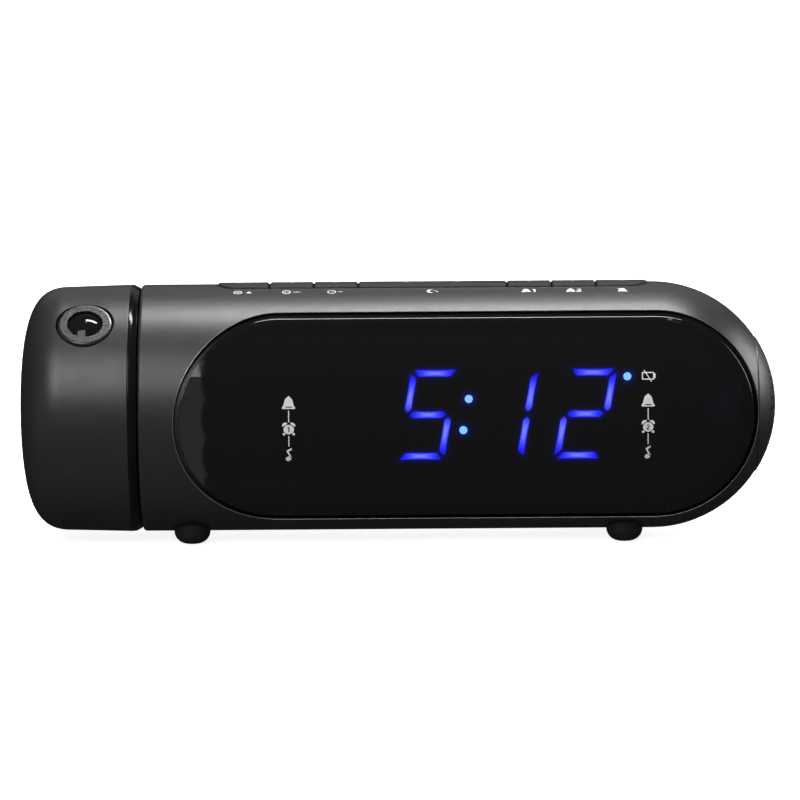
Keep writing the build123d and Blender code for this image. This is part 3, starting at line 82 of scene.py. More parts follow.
class Finish:
    """A Principled material and the nodes that give it its detail."""

    def __init__(self, name, color, rough, **sockets):
        self.mat = bpy.data.materials.new(name)
        self.mat.use_nodes = True
        self.nodes = self.mat.node_tree.nodes
        self.links = self.mat.node_tree.links
        self.bsdf = self.nodes["Principled BSDF"]
        self.color = color
        self.set("Base Color", (*color, 1.0))
        self.set("Roughness", rough)
        for key, value in sockets.items():
            self.set(key.replace("_", " "), value)
        self.coords = self.nodes.new("ShaderNodeTexCoord")
        self.last_bump = None

    def set(self, socket, value):
        self.bsdf.inputs[socket].default_value = value

    def noise(self, size, detail=2.0, rough=0.5, stretch=None):
        """A noise with features of the given size in millimetres."""
        tex = self.nodes.new("ShaderNodeTexNoise")
        tex.inputs["Scale"].default_value = 1.0 / (size * MM)
        tex.inputs["Detail"].default_value = detail
        tex.inputs["Roughness"].default_value = rough
        self.links.new(self.stretched(stretch), tex.inputs["Vector"])
        return tex.outputs["Fac"]

    def stretched(self, stretch):
        if stretch is None:
            return self.coords.outputs["Object"]
        mapping = self.nodes.new("ShaderNodeMapping")
        mapping.inputs["Scale"].default_value = stretch
        self.links.new(self.coords.outputs["Object"], mapping.inputs["Vector"])
        return mapping.outputs["Vector"]

    def span(self, source, low, high, start=0.3, end=0.7):
        node = self.nodes.new("ShaderNodeMapRange")
        node.inputs["From Min"].default_value = start
        node.inputs["From Max"].default_value = end
        node.inputs["To Min"].default_value = low
        node.inputs["To Max"].default_value = high
        self.links.new(source, node.inputs["Value"])
        return node.outputs["Result"]

    def roughness(self, source, low, high, start=0.3, end=0.7):
        self.links.new(self.span(source, low, high, start, end), self.bsdf.inputs["Roughness"])
        return self

    def tint(self, source, dark, light, start=0.3, end=0.7):
        """Varies the base colour between two shades of it, or between two colours."""
        node = self.nodes.new("ShaderNodeMix")
        node.data_type = "RGBA"
        one = dark if isinstance(dark, tuple) else tuple(c * dark for c in self.color)
        two = light if isinstance(light, tuple) else tuple(c * light for c in self.color)
        node.inputs["A"].default_value = (*one, 1.0)
        node.inputs["B"].default_value = (*two, 1.0)
        self.links.new(self.span(source, 0.0, 1.0, start, end), node.inputs["Factor"])
        self.links.new(node.outputs["Result"], self.bsdf.inputs["Base Color"])
        return self

    def bump(self, source, height, strength=1.0):
        """A relief of the given height in millimetres, on top of the one before."""
        node = self.nodes.new("ShaderNodeBump")
        node.inputs["Distance"].default_value = height * MM
        node.inputs["Strength"].default_value = strength
        self.links.new(source, node.inputs["Height"])
        if self.last_bump:
            self.links.new(self.last_bump, node.inputs["Normal"])
        self.last_bump = node.outputs["Normal"]
        self.links.new(self.last_bump, self.bsdf.inputs["Normal"])
        return self


def moulded(name, color, rough, grain=0.3, relief=0.012, **sockets):
    """Moulded plastic with an eroded grain and faint changes of gloss."""
    f = Finish(name, color, rough, **sockets)
    f.tint(f.noise(6.0, 3.0), 0.93, 1.07)
    f.roughness(f.noise(2.5, 4.0, 0.6), rough - 0.03, rough + 0.03)
    f.bump(f.noise(grain, 2.0, 0.6), relief)
    return f


def metal(name, color, rough, brushed=None, **sockets):
    f = Finish(name, color, rough, Metallic=1.0, **sockets)
    f.tint(f.noise(1.5, 3.0), 0.9, 1.05)
    f.roughness(f.noise(0.4, 3.0, 0.6, brushed), rough - 0.08, rough + 0.1)
    f.bump(f.noise(0.15, 2.0, 0.5, brushed), 0.003)
    return f


def board(name):
    """Green solder mask over copper tracks."""
    f = Finish(name, (0.006, 0.06, 0.022), 0.35, Coat_Weight=0.3)
    tracks = f.nodes.new("ShaderNodeTexBrick")
    tracks.inputs["Scale"].default_value = 1.0
    tracks.inputs["Brick Width"].default_value = 6.0 * MM
    tracks.inputs["Row Height"].default_value = 1.3 * MM
    tracks.inputs["Mortar Size"].default_value = 0.16 * MM
    tracks.inputs["Mortar Smooth"].default_value = 0.1
    f.links.new(f.coords.outputs["Object"], tracks.inputs["Vector"])
    f.tint(tracks.outputs["Fac"], (0.006, 0.06, 0.022), (0.02, 0.13, 0.045), 0.0, 1.0)
    f.bump(tracks.outputs["Fac"], 0.02)
    f.roughness(f.noise(3.0), 0.28, 0.42)
    return f


finishes = {
    "satin_shell": moulded("satin_shell", (0.0225, 0.0218, 0.0210), 0.385, 0.32, 0.018),
    "key_satin": moulded("key_satin", (0.021, 0.0203, 0.0197), 0.37, 0.30, 0.012),
    "ring_satin": moulded("ring_satin", (0.015, 0.0147, 0.0144), 0.27, 0.30, 0.014),
    "gloss_black": moulded("gloss_black", (0.006, 0.006, 0.006), 0.14, 0.5, 0.004, Specular_IOR_Level=0.14),
    "adhesive": moulded("adhesive", (0.006, 0.006, 0.006), 0.85, 0.25, 0.05),
    "display_block": moulded("display_block", (0.030, 0.030, 0.031), 0.6, 0.25, 0.01),
    "foot_rubber": moulded("foot_rubber", (0.0045, 0.0045, 0.0047), 0.75, 0.22, 0.015),
    "chip_black": moulded("chip_black", (0.018, 0.018, 0.019), 0.55, 0.2, 0.01),
    "jack_black": moulded("jack_black", (0.010, 0.010, 0.010), 0.35, 0.3, 0.006),
    "wheel_black": moulded("wheel_black", (0.014, 0.014, 0.014), 0.42, 0.28, 0.010),
    "inner_plastic": moulded("inner_plastic", (0.035, 0.035, 0.036), 0.45, 0.35, 0.012),
    "lead_black": moulded("lead_black", (0.012, 0.012, 0.012), 0.38, 0.6, 0.006),
    "magnet": moulded("magnet", (0.045, 0.044, 0.043), 0.7, 0.2, 0.03),
    "cone_paper": moulded("cone_paper", (0.020, 0.019, 0.018), 0.9, 0.35, 0.05),
    "contact_metal": metal("contact_metal", (0.72, 0.66, 0.52), 0.28),
    "cell_steel": metal("cell_steel", (0.62, 0.62, 0.61), 0.25, (1.0, 1.0, 12.0)),
    "screw_steel": metal("screw_steel", (0.10, 0.10, 0.105), 0.38),
    "speaker_steel": metal("speaker_steel", (0.48, 0.48, 0.49), 0.32, (1.0, 8.0, 1.0)),
    "circuit_board": board("circuit_board"),
}

# felt: short tangled fibres
felt = Finish("felt", (0.05, 0.05, 0.052), 0.95, Sheen_Weight=0.6)
felt.tint(felt.noise(0.3, 4.0), 0.7, 1.3)
felt.bump(felt.noise(0.12, 3.0, 0.7, (1.0, 3.0, 1.0)), 0.08)
finishes["felt"] = felt

# smoked window: hides what isn't lit
window = Finish("smoked_window", (0.0036, 0.0036, 0.0038), 0.02, Alpha=WINDOW_ALPHA,
                IOR=ACRYLIC_IOR, Specular_IOR_Level=0.58)
window.roughness(window.noise(9.0, 3.0), 0.012, 0.028)
window.bump(window.noise(14.0, 1.0), 0.002)
finishes["smoked_window"] = window

for name, color, rough in (
    ("optical_glass", (0.006, 0.006, 0.0065), 0.05),
    ("clear_plastic", (0.30, 0.31, 0.32), 0.08),
    ("lcd_glass", (0.045, 0.050, 0.055), 0.06),
):
    glass = Finish(name, color, rough, Coat_Weight=0.5, Coat_Roughness=0.02)
    glass.roughness(glass.noise(1.2, 3.0), rough * 0.7, rough * 1.6)
    glass.bump(glass.noise(3.0, 1.0), 0.001)
    finishes[name] = glass
finishes["optical_glass"].set("Coat Weight", 0.0)
finishes["optical_glass"].set("Specular IOR Level", 0.22)
finishes["clear_plastic"].set("Alpha", 0.45)
finishes["lcd_glass"].set("Alpha", 0.85)

finishes["led_off"] = moulded("led_off", (0.011, 0.011, 0.012), 0.5, 0.25, 0.006)


def lit(name, color, strength, base=(0.02, 0.02, 0.04)):
    f = moulded(name, base, 0.45, 0.3, 0.005)
    f.set("Emission Color", (*color, 1.0))
    f.set("Emission Strength", strength)
    return f


finishes["led_dot"] = lit("led_dot", (0.25, 0.60, 1.0), 1.0 / SEEN)
finishes["led_blue"] = lit("led_blue", (0.02, 0.03, 1.0), 1.0)

printed = moulded("print_white", (0.92, 0.92, 0.90), 0.5, 0.25, 0.004)
print_grey = moulded("print_grey", (0.30, 0.30, 0.295), 0.5, 0.25, 0.004)

for piece in frame["record"]["subparts"]:
    obj = frame["nodes"][piece["node"]]
    obj.data.materials.clear()
    obj.data.materials.append(finishes[piece["material_slot"]].mat)

# ------------------------------------------------------------------ flat drawing in millimetres


def arc(cx, cy, rx, ry, start, end, steps=14):
    return [
        (cx + rx * math.cos(math.radians(start + (end - start) * i / steps)),
         cy + ry * math.sin(math.radians(start + (end - start) * i / steps)))
        for i in range(steps + 1)
    ]


def disc(cx, cy, rx, ry=None, turn=0.0, steps=28):
    ry = rx if ry is None else ry
    c, s = math.cos(math.radians(turn)), math.sin(math.radians(turn))
    loop = arc(0, 0, rx, ry, 0, 360, steps)[:-1]
    return [(cx + x * c - y * s, cy + x * s + y * c) for x, y in loop]


def ring(cx, cy, outer, inner):
    return [disc(cx, cy, outer), disc(cx, cy, inner)]


def stroke(x0, y0, x1, y1, width):
    n = math.hypot(x1 - x0, y1 - y0)
    dx, dy = (y1 - y0) / n * width / 2, -(x1 - x0) / n * width / 2
    return [(x0 + dx, y0 + dy), (x1 + dx, y1 + dy), (x1 - dx, y1 - dy), (x0 - dx, y0 - dy)]


def rect(x0, y0, x1, y1):
    return [(x0, y0), (x1, y0), (x1, y1), (x0, y1)]


def moved(loops, dx, dy, scale=1.0):
    return [[(x * scale + dx, y * scale + dy) for x, y in loop] for loop in loops]


def rounded(loop, radius, steps=5):
    """The loop with its corners rounded."""
    out = []
    n = len(loop)
    for i in range(n):
        p, a, b = Vector(loop[i]), Vector(loop[i - 1]), Vector(loop[(i + 1) % n])
        u, w = (a - p), (b - p)
        r = min(radius, u.length * 0.45, w.length * 0.45)
        s, e = p + u.normalized() * r, p + w.normalized() * r
        for k in range(steps + 1):
            t = k / steps
            q = (1 - t) ** 2 * s + 2 * t * (1 - t) * p + t * t * e
            out.append((q.x, q.y))
    return out


ONE = [
    (-0.50, 0.36), (-0.50, 0.66), (-0.06, 0.95), (0.30, 0.95), (0.30, -0.95), (-0.12, -0.95), (-0.12, 0.52)
]
TWO = (
    arc(0.0, 0.42, 0.64, 0.58, 165, -30, 12)
    + [(-0.10, -0.60), (0.68, -0.60), (0.68, -0.95), (-0.70, -0.95), (-0.70, -0.64)]
    + arc(0.0, 0.42, 0.28, 0.24, -30, 165, 12)
)
BELL = [
    arc(0.0, 1.42, 0.30, 0.24, 172, 8, 6)
    + arc(0.0, 0.40, 1.02, 0.98, 62, 5, 8)
    + [(1.10, 0.10), (1.28, -0.50), (1.42, -0.82)]
    + arc(1.42, -1.22, 0.26, 0.26, 50, -90, 6)
    + arc(-1.42, -1.22, 0.26, 0.26, 270, 130, 6)
    + [(-1.42, -0.82), (-1.28, -0.50), (-1.10, 0.10)]
    + arc(0.0, 0.40, 1.02, 0.98, 175, 118, 8),
    [(-1.06, -1.03), (-0.55, -0.90), (0.55, -0.90), (1.06, -1.03), (0.60, -1.18), (-0.60, -1.18)],
]


def alarm_clock(numeral):
    loops = [disc(0.0, -0.10, 1.30, 1.20)]
    loops.append([(x * 0.68, y * 0.68 - 0.10) for x, y in numeral])
    for side in (-1, 1):
        turned = []
        c, s = math.cos(math.radians(-34 * side)), math.sin(math.radians(-34 * side))
        for x, y in disc(0.0, 0.0, 0.74, 0.56):
            y = max(y, -0.10)
            turned.append((side * 0.97 + x * c - y * s, 1.06 + x * s + y * c))
        loops.append(turned)
        loops.append(disc(side * 1.22, -1.26, 0.33))
    return loops


NOTE = [
    disc(-0.16, -1.10, 0.76, 0.58, 24),
    [(0.40, -1.15), (0.68, -0.85), (-0.16, 0.72), (0.68, 1.24), (0.58, 1.68), (-0.66, 1.00), (-0.62, 0.70)],
]
BATTERY = [
    rounded(rect(-1.66, -0.92, 1.38, 0.92), 0.25),
    rect(-1.40, -0.66, 1.12, 0.66),
]
BATTERY_CAP = [rounded(rect(1.36, -0.60, 1.72, 0.60), 0.2)]
SLASH = [stroke(-1.10, 1.38, 0.72, -1.40, 0.22)]


def drawn(name, loops):
    """A flat mesh of the loops. A loop inside another is a hole in it."""
    curve = bpy.data.curves.new(name, "CURVE")
    curve.dimensions = "2D"
    curve.fill_mode = "BOTH"
    for loop in loops:
        spline = curve.splines.new("POLY")
        spline.points.add(len(loop) - 1)
        for point, (x, y) in zip(spline.points, loop):
            point.co = (x, y, 0.0, 1.0)
        spline.use_cyclic_u = True
    holder = bpy.data.objects.new(name + "_outline", curve)
    bpy.context.scene.collection.objects.link(holder)
    bpy.context.view_layer.update()
    mesh = bpy.data.meshes.new_from_object(holder.evaluated_get(bpy.context.evaluated_depsgraph_get()))
    bpy.data.objects.remove(holder)
    return mesh


def surface(*nodes):
    """What prints on these nodes land on."""
    verts, faces = [], []
    for node in nodes:
        mesh = frame["nodes"][node].data
        base = len(verts)
        verts += [v.co.copy() for v in mesh.vertices]
        faces += [[base + i for i in p.vertices] for p in mesh.polygons]
    return BVHTree.FromPolygons(verts, faces)


def printed_on(name, drawings, place, cast, tree, body, finish, lift=0.008):
    """Prints on a surface: place takes a point of the drawing to a point in front of the surface, in
    metres, and cast takes that point to the direction of the surface."""
    work = bmesh.new()
    for loops in drawings:
        mesh = drawn(name, loops)
        work.from_mesh(mesh)
        bpy.data.meshes.remove(mesh)
    bmesh.ops.remove_doubles(work, verts=work.verts, dist=1e-5)
    low = min(v.co.y for v in work.verts)
    high = max(v.co.y for v in work.verts)
    at = low + 0.3
    while at < high:
        geom = work.verts[:] + work.edges[:] + work.faces[:]
        bmesh.ops.bisect_plane(work, geom=geom, plane_co=(0, at, 0), plane_no=(0, 1, 0))
        at += 0.3
    for v in work.verts:
        start = place(v.co.x, v.co.y)
        way = cast(start)
        spot, normal, _, _ = tree.ray_cast(start, way)
        if spot is None:
            raise ValueError(f"{name} misses its surface at {v.co.x:.2f}, {v.co.y:.2f}")
        v.co = spot - way * (lift * MM)
    bmesh.ops.triangulate(work, faces=[f for f in work.faces if len(f.verts) > 4])
    work.normal_update()
    for face in work.faces:
        if face.normal.dot(cast(face.calc_center_median())) > 0:
            face.normal_flip()
    mesh = bpy.data.meshes.new(name)
    work.to_mesh(mesh)
    work.free()
    obj = bpy.data.objects.new(name, mesh)
    bpy.context.scene.collection.objects.link(obj)
    mesh.materials.append(finish.mat)
    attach(obj, body)
    return obj


# ------------------------------------------------------------------ prints on the window


def before_front(x, z):
    return Vector((x * MM, -0.05, (AXIS_Z + z) * MM))


def to_back(_):
    return Vector((0, 1, 0))


window_tree = surface("display_lens")
column = []
for x, numeral in ((-27.42, ONE), (62.10, TWO)):
    column.append(moved(BELL, x, 5.32))
    column.append([rect(x - 0.13, 0.48, x + 0.13, 3.42)])
    column.append(moved(alarm_clock(numeral), x, -1.22))
    column.append([rect(x - 0.13, -5.66, x + 0.13, -2.92)])
    column.append(moved(NOTE, x + 0.05, -7.72))
battery_at = (62.30, 11.28)
column.append(moved(BATTERY, *battery_at))
column.append(moved(BATTERY_CAP, *battery_at))
printed_on("window_symbols", column, before_front, to_back, window_tree, "clock_body",
           printed)
printed_on("window_slash", [moved(SLASH, *battery_at)], before_front, to_back, window_tree, "clock_body",
           printed, 0.016)

# ------------------------------------------------------------------ the window's rounded edge

lens_lo, lens_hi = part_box("display_lens")
LENS_HALF = (lens_hi.z - lens_lo.z) / MM / 2
LEFT, RIGHT = lens_lo.x / MM + LENS_HALF, lens_hi.x / MM - LENS_HALF
DOME_X = cad_box[1].x / MM - GRILLE_PROUD - BODY_R


def outline_stops():
    """The centres and angles that lead round the window."""
    stops = [(LEFT, math.pi / 2 + math.pi * k / 40) for k in range(41)]
    stops += [(LEFT + (RIGHT - LEFT) * k / 12, -math.pi / 2) for k in range(1, 12)]
    stops += [(RIGHT, -math.pi / 2 + math.pi * k / 40) for k in range(41)]
    return stops + [(RIGHT + (LEFT - RIGHT) * k / 12, math.pi / 2) for k in range(1, 12)]


def bead(name, half, radius, side, reach, round_r, lift, finish):
    """A rounded edge between the round front, of that radius, and a wall that follows the window's
    outline at that half width and faces out (side 1) or in (side -1). Its size comes from its reach
    along the faces or from its own radius."""
    work = bmesh.new()
    rows = []
    for cx, turn in outline_stops():
        out = Vector((math.cos(turn), 0, math.sin(turn)))
        x, z = cx + half * out.x, half * out.z
        over = max(0.0, x - DOME_X)
        corner = Vector((x, -math.sqrt(radius**2 - z * z - over * over), z))
        face_n, side_n = Vector((over, corner.y, z)).normalized(), out * side
        r = round_r or reach / math.tan(face_n.angle(side_n) / 2)
        centre = corner - r * (face_n + side_n) / (1 + face_n.dot(side_n))
        row = []
        for k in range(9):
            q = centre + (r + lift) * face_n.slerp(side_n, k / 8)
            row.append(work.verts.new((q.x * MM, q.y * MM, (AXIS_Z + q.z) * MM)))
        rows.append(row)
    for one, two in zip(rows, rows[1:] + rows[:1]):
        for k in range(8):
            face = work.faces.new((one[k], one[k + 1], two[k + 1], two[k]))
            face.smooth = True
            face.normal_update()
            mid = face.calc_center_median()
            away = Vector((mid.x - WINDOW_X * MM, 0, mid.z - AXIS_Z * MM)).normalized() * side
            if face.normal.dot(away - Vector((0, 0.3, 0))) < 0:
                face.normal_flip()
    mesh = bpy.data.meshes.new(name)
    work.to_mesh(mesh)
    work.free()
    obj = bpy.data.objects.new(name, mesh)
    bpy.context.scene.collection.objects.link(obj)
    mesh.materials.append(finish.mat)
    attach(obj, "clock_body")
    return obj


bead_finish = Finish("window_bead", (0.006, 0.006, 0.006), 0.06, IOR=ACRYLIC_IOR)
bead_finish.roughness(bead_finish.noise(2.0, 3.0), 0.04, 0.10)
bead("window_bead", LENS_HALF, LENS_R, 1, 0.2, None, 0.006, bead_finish)
rim_finish = Finish("opening_rim", (0.02, 0.0195, 0.019), 0.25)
rim_finish.roughness(rim_finish.noise(2.0, 3.0), 0.20, 0.30)
rim = bead("opening_rim", OPENING_HALF, BODY_R, -1, None, 0.1, 0.012, rim_finish)

# ------------------------------------------------------------------ prints above the window and on the keys


OUTSIDE_R = 40.0  # the prints are cast from this far from the axis


def round_top(x, arc_mm):
    """A point outside the body at that length round the body from its top, towards the front."""
    a = arc_mm / BODY_R
    r = OUTSIDE_R
    return Vector((x * MM, -r * math.sin(a) * MM, (AXIS_Z + r * math.cos(a)) * MM))


def to_axis(p):
    return Vector((0, -p.y, AXIS_Z * MM - p.z)).normalized()


def hands(hour, minute):
    """A small dial with two hands, given as angles from the top."""
    loops = ring(0, 0, 1.1, 0.86)
    out = [loops]
    for angle, length, width in ((hour, 0.50, 0.30), (minute, 0.74, 0.20)):
        a = math.radians(angle)
        out.append([stroke(0, 0, length * math.sin(a), length * math.cos(a), width)])
    return out


def spread(groups, dx, dy, scale=1.0):
    return [moved(g, dx, dy, scale) for g in groups]


MOON = [
    arc(0, 0, 1.1, 1.1, 55, 305, 20) + arc(0.55, 0, 0.92, 0.92, 282, 78, 16)
]
TRIANGLE = [[(-0.75, -0.6), (0.75, -0.6), (0.0, 0.75)]]
SMALL_BELL = moved(BELL, 0, 0.05, 0.72)


def sun():
    groups = [[disc(0, 0, 0.5)]]
    for k in range(8):
        a = math.radians(45 * k)
        c, s = math.cos(a), math.sin(a)
        groups.append([stroke(0.72 * c, 0.72 * s, 1.1 * c, 1.1 * s, 0.2)])
    return groups


KEY_X = {
    "time": -39.15, "hour": -26.98, "minute": -15.73, "snooze": 8.8,
    "alarm_1": 33.33, "alarm_2": 44.58, "alarm_off": 56.75,
}
ARC_AT = 8.05  # from the top to the middle of the row of symbols


def flipped(groups):
    """Drawn upright for someone in front of the clock: up on the drawing is towards the top."""
    return [[[(x, ARC_AT - y) for x, y in loop] for loop in g] for g in groups]


labels = []
labels += spread(hands(-60, 60), KEY_X["time"] - 1.3, 0) + spread([TRIANGLE], KEY_X["time"] + 1.5, 0, 0.9)
labels += spread(hands(-60, 0)[:2], KEY_X["hour"] - 1.2, 0)
labels += [[rect(KEY_X["hour"] + 0.5, -0.14, KEY_X["hour"] + 2.4, 0.14)]]
labels += spread([hands(0, 0)[0], hands(0, 90)[2]], KEY_X["minute"] - 1.0, 0)
labels += [[rect(KEY_X["minute"] + 0.6, -0.14, KEY_X["minute"] + 1.7, 0.14)]]
labels += spread([MOON], KEY_X["snooze"] - 0.4, 0)
labels += [[disc(KEY_X["snooze"] + x, y, 0.22)] for x, y in ((0.55, 0.45), (1.15, -0.35))]
for key, numeral in (("alarm_1", ONE), ("alarm_2", TWO)):
    labels += spread([SMALL_BELL], KEY_X[key] - 0.95, 0) + spread([[numeral]], KEY_X[key] + 1.15, 0)
labels += spread([SMALL_BELL], KEY_X["alarm_off"], 0)
body_tree = surface("front_housing")
printed_on("key_symbols", flipped(labels), round_top, to_axis, body_tree, "clock_body",
           printed)
off_slash = flipped(spread([[stroke(-1.25, 1.15, 1.25, -1.15, 0.26)]], KEY_X["alarm_off"], 0))
printed_on("key_off_slash", off_slash, round_top, to_axis, body_tree, "clock_body",
           printed, 0.016)


def above(x, y):
    return Vector((x * MM, y * MM, 0.09))


def down(_):
    return Vector((0, 0, -1))


tops = {
    "time": spread([TRIANGLE], -1.2, 0, 0.8) + spread([moved(TRIANGLE, 0, 0)], 1.2, 0, 0.8),
    "hour": spread([TRIANGLE], 0, 0, 0.9),
    "minute": spread([TRIANGLE], 0, 0, 0.9),
    "snooze": spread([MOON], -6.2, 0) + spread(sun(), 6.2, 0) + [[rect(-3.9, -0.12, 3.9, 0.12)]],
    "alarm_1": spread([NOTE], 0, 0, 0.66),
    "alarm_2": spread([NOTE], 0, 0, 0.66),
    "alarm_off": [ring(0, 0, 0.95, 0.7), [stroke(0, 0.35, 0, 1.25, 0.26)]],
}
for key, groups in tops.items():
    printed_on(f"{key}_key_symbol", spread(groups, KEY_X[key], 0.4), above, down, surface(f"{key}_key"),
               f"{key}_key_body", print_grey)

# ------------------------------------------------------------------ prints on the back

SPEAKER = [
    [(-1.1, -0.35), (-0.55, -0.35), (0.05, -0.9), (0.05, 0.9), (-0.55, 0.35), (-1.1, 0.35)],
]
WEDGE = [[(-4.0, -0.1), (4.0, -0.9), (4.0, 0.9), (-4.0, 0.1)]]


def behind(x, z):
    return Vector((-x * MM, 0.05, (AXIS_Z + z) * MM))


def to_front(_):
    return Vector((0, -1, 0))


back = []
back += spread([SPEAKER], -2.0 - 5.6, -1.6) + spread([WEDGE], -2.0 + 0.9, -1.6, 0.85)
SCALE_LEFT = -32.5  # the tuning scale's eleven marks, 1 mm apart
back += [
    [rect(SCALE_LEFT + k - 0.1, -2.1, SCALE_LEFT + k + 0.1, -2.1 + (1.5 if k % 5 == 0 else 0.9))]
    for k in range(11)
]
back += [[rect(-47.3, -1.3, -44.7, -1.05)]]
back += [[rect(-47.3 + 0.95 * k, -1.95, -46.7 + 0.95 * k, -1.7)] for k in range(3)]
printed_on("back_symbols", back, behind, to_front, surface("rear_housing"), "clock_body",
           print_grey)

# ------------------------------------------------------------------ the lit digits

W, H = 6.05, 11.4  # half a digit's width and height
LEVEL_W, LEVEL_L, MIDDLE_L = 1.75, 5.25, 4.65  # width of the level bars, and half their lengths
SIDE_W, SIDE_END, SIDE_GAP = 1.65, 0.95, 0.55
CUT = 1.2  # how far the bars' slanted ends are cut back
BAR_CORNER = 0.50
DOT_R = 1.0
COLON_X, COLON_HALF, INDICATOR = 16.9, 3.95, (57.4, 10.0)
LEAN = math.tan(math.radians(10.0))
FIRST_X, PITCH, DIGIT_Z = -12.5, 19.8, 0.6
SHOWN = ("", "acdfg", "bc", "abdeg")
level = [(-LEVEL_L, H), (LEVEL_L, H), (LEVEL_L - CUT, H - LEVEL_W), (CUT - LEVEL_L, H - LEVEL_W)]
side_bar = [
    (-W, H - SIDE_END), (SIDE_W - W, H - SIDE_END - CUT), (SIDE_W - W, SIDE_GAP + SIDE_W / 2),
    (SIDE_W / 2 - W, SIDE_GAP), (-W, SIDE_GAP + SIDE_W / 2),
]
half = LEVEL_W / 2
middle = [(-MIDDLE_L, 0), (half - MIDDLE_L, half), (MIDDLE_L - half, half)]
middle += [(-x, -z) for x, z in middle]
turned = {
    "a": (level, 1, 1), "b": (side_bar, -1, 1), "c": (side_bar, -1, -1), "d": (level, 1, -1),
    "e": (side_bar, 1, -1), "f": (side_bar, 1, 1), "g": (middle, 1, 1),
}
bars = []
for index, shown in enumerate(SHOWN):
    for name in shown:
        outline, side, flip = turned[name]
        digit_x = FIRST_X + index * PITCH
        loop = [(side * x + flip * z * LEAN + digit_x, flip * z + DIGIT_Z) for x, z in outline]
        bars.append(rounded(loop, BAR_CORNER))
dots = [(COLON_X + s * COLON_HALF * LEAN, DIGIT_Z + s * COLON_HALF) for s in (1, -1)] + [INDICATOR]

work = bmesh.new()
glow = work.verts.layers.float_color.new("glow")
for loop in bars:
    n = len(loop)
    cx = sum(p[0] for p in loop) / n
    cz = sum(p[1] for p in loop) / n
    far = max(loop, key=lambda p: math.hypot(p[0] - cx, p[1] - cz))
    reach = math.hypot(far[0] - cx, far[1] - cz)
    # the bar's long direction
    sxx = sum((p[0] - cx) ** 2 for p in loop)
    szz = sum((p[1] - cz) ** 2 for p in loop)
    sxz = sum((p[0] - cx) * (p[1] - cz) for p in loop)
    a = 0.5 * math.atan2(2 * sxz, sxx - szz)
    ux, uz = math.cos(a), math.sin(a)
    rings = []
    for share in (1.0, 0.93, 0.84, 0.72, 0.58, 0.42, 0.26, 0.12):
        row = []
        for x, z in loop:
            px, pz = cx + (x - cx) * share, cz + (z - cz) * share
            along = ((px - cx) * ux + (pz - cz) * uz) / reach
            across = (-(px - cx) * uz + (pz - cz) * ux) / half
            core = math.exp(-((along / 0.46) ** 2)) * (1.0 - 0.55 * min(1.0, abs(across)) ** 4)
            edge = 1.0 - 0.50 * max(0.0, (share - 0.90) / 0.10)
            py = DISPLAY_FACE_Y - 0.05 - 0.012 * (1 - share)
            v = work.verts.new((px * MM, py * MM, (AXIS_Z + pz) * MM))
            white = core * edge
            v[glow] = (0.003 + 0.19 * white, 0.003 + 0.23 * white, edge * (1.0 + 0.10 * core), 1.0)
            row.append(v)
        rings.append(row)
    for outer, inner in zip(rings, rings[1:]):
        for i in range(n):
            j = (i + 1) % n
            work.faces.new((outer[i], outer[j], inner[j], inner[i]))
    work.faces.new(rings[-1])
    back_row = [work.verts.new((x * MM, (DISPLAY_FACE_Y + 0.3) * MM, (AXIS_Z + z) * MM)) for x, z in loop]
    for v in back_row:
        v[glow] = (0.0, 0.0, 0.5, 1.0)
    for i in range(n):
        j = (i + 1) % n
        work.faces.new((rings[0][i], back_row[i], back_row[j], rings[0][j]))
    work.faces.new(back_row[::-1])
bmesh.ops.recalc_face_normals(work, faces=work.faces)
mesh = bpy.data.meshes.new("lit_bars")
work.to_mesh(mesh)
work.free()
lit_bars = bpy.data.objects.new("lit_bars", mesh)
bpy.context.scene.collection.objects.link(lit_bars)


def glowing(name, base, strength):
    f = moulded(name, base, 0.5, 0.25, 0.004)
    shade = f.nodes.new("ShaderNodeVertexColor")
    shade.layer_name = "glow"
    f.links.new(shade.outputs["Color"], f.bsdf.inputs["Emission Color"])
    f.set("Emission Strength", strength)
    return f


mesh.materials.append(glowing("lit_bar", (0.01, 0.01, 0.02), 1.0 / SEEN).mat)
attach(lit_bars, "clock_body")
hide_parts("lit_segments")


def gap_to(loop, x, z):
    """How far a point is outside a loop, or 0 inside it."""
    best, inside = 1e9, False
    n = len(loop)
    for i in range(n):
        (x1, z1), (x2, z2) = loop[i], loop[(i + 1) % n]
        dx, dz = x2 - x1, z2 - z1
        t = ((x - x1) * dx + (z - z1) * dz) / (dx * dx + dz * dz + 1e-12)
        t = min(1.0, max(0.0, t))
        best = min(best, math.hypot(x - x1 - t * dx, z - z1 - t * dz))
        if (z1 > z) != (z2 > z) and x < (x2 - x1) * (z - z1) / (z2 - z1) + x1:
            inside = not inside
    return 0.0 if inside else best


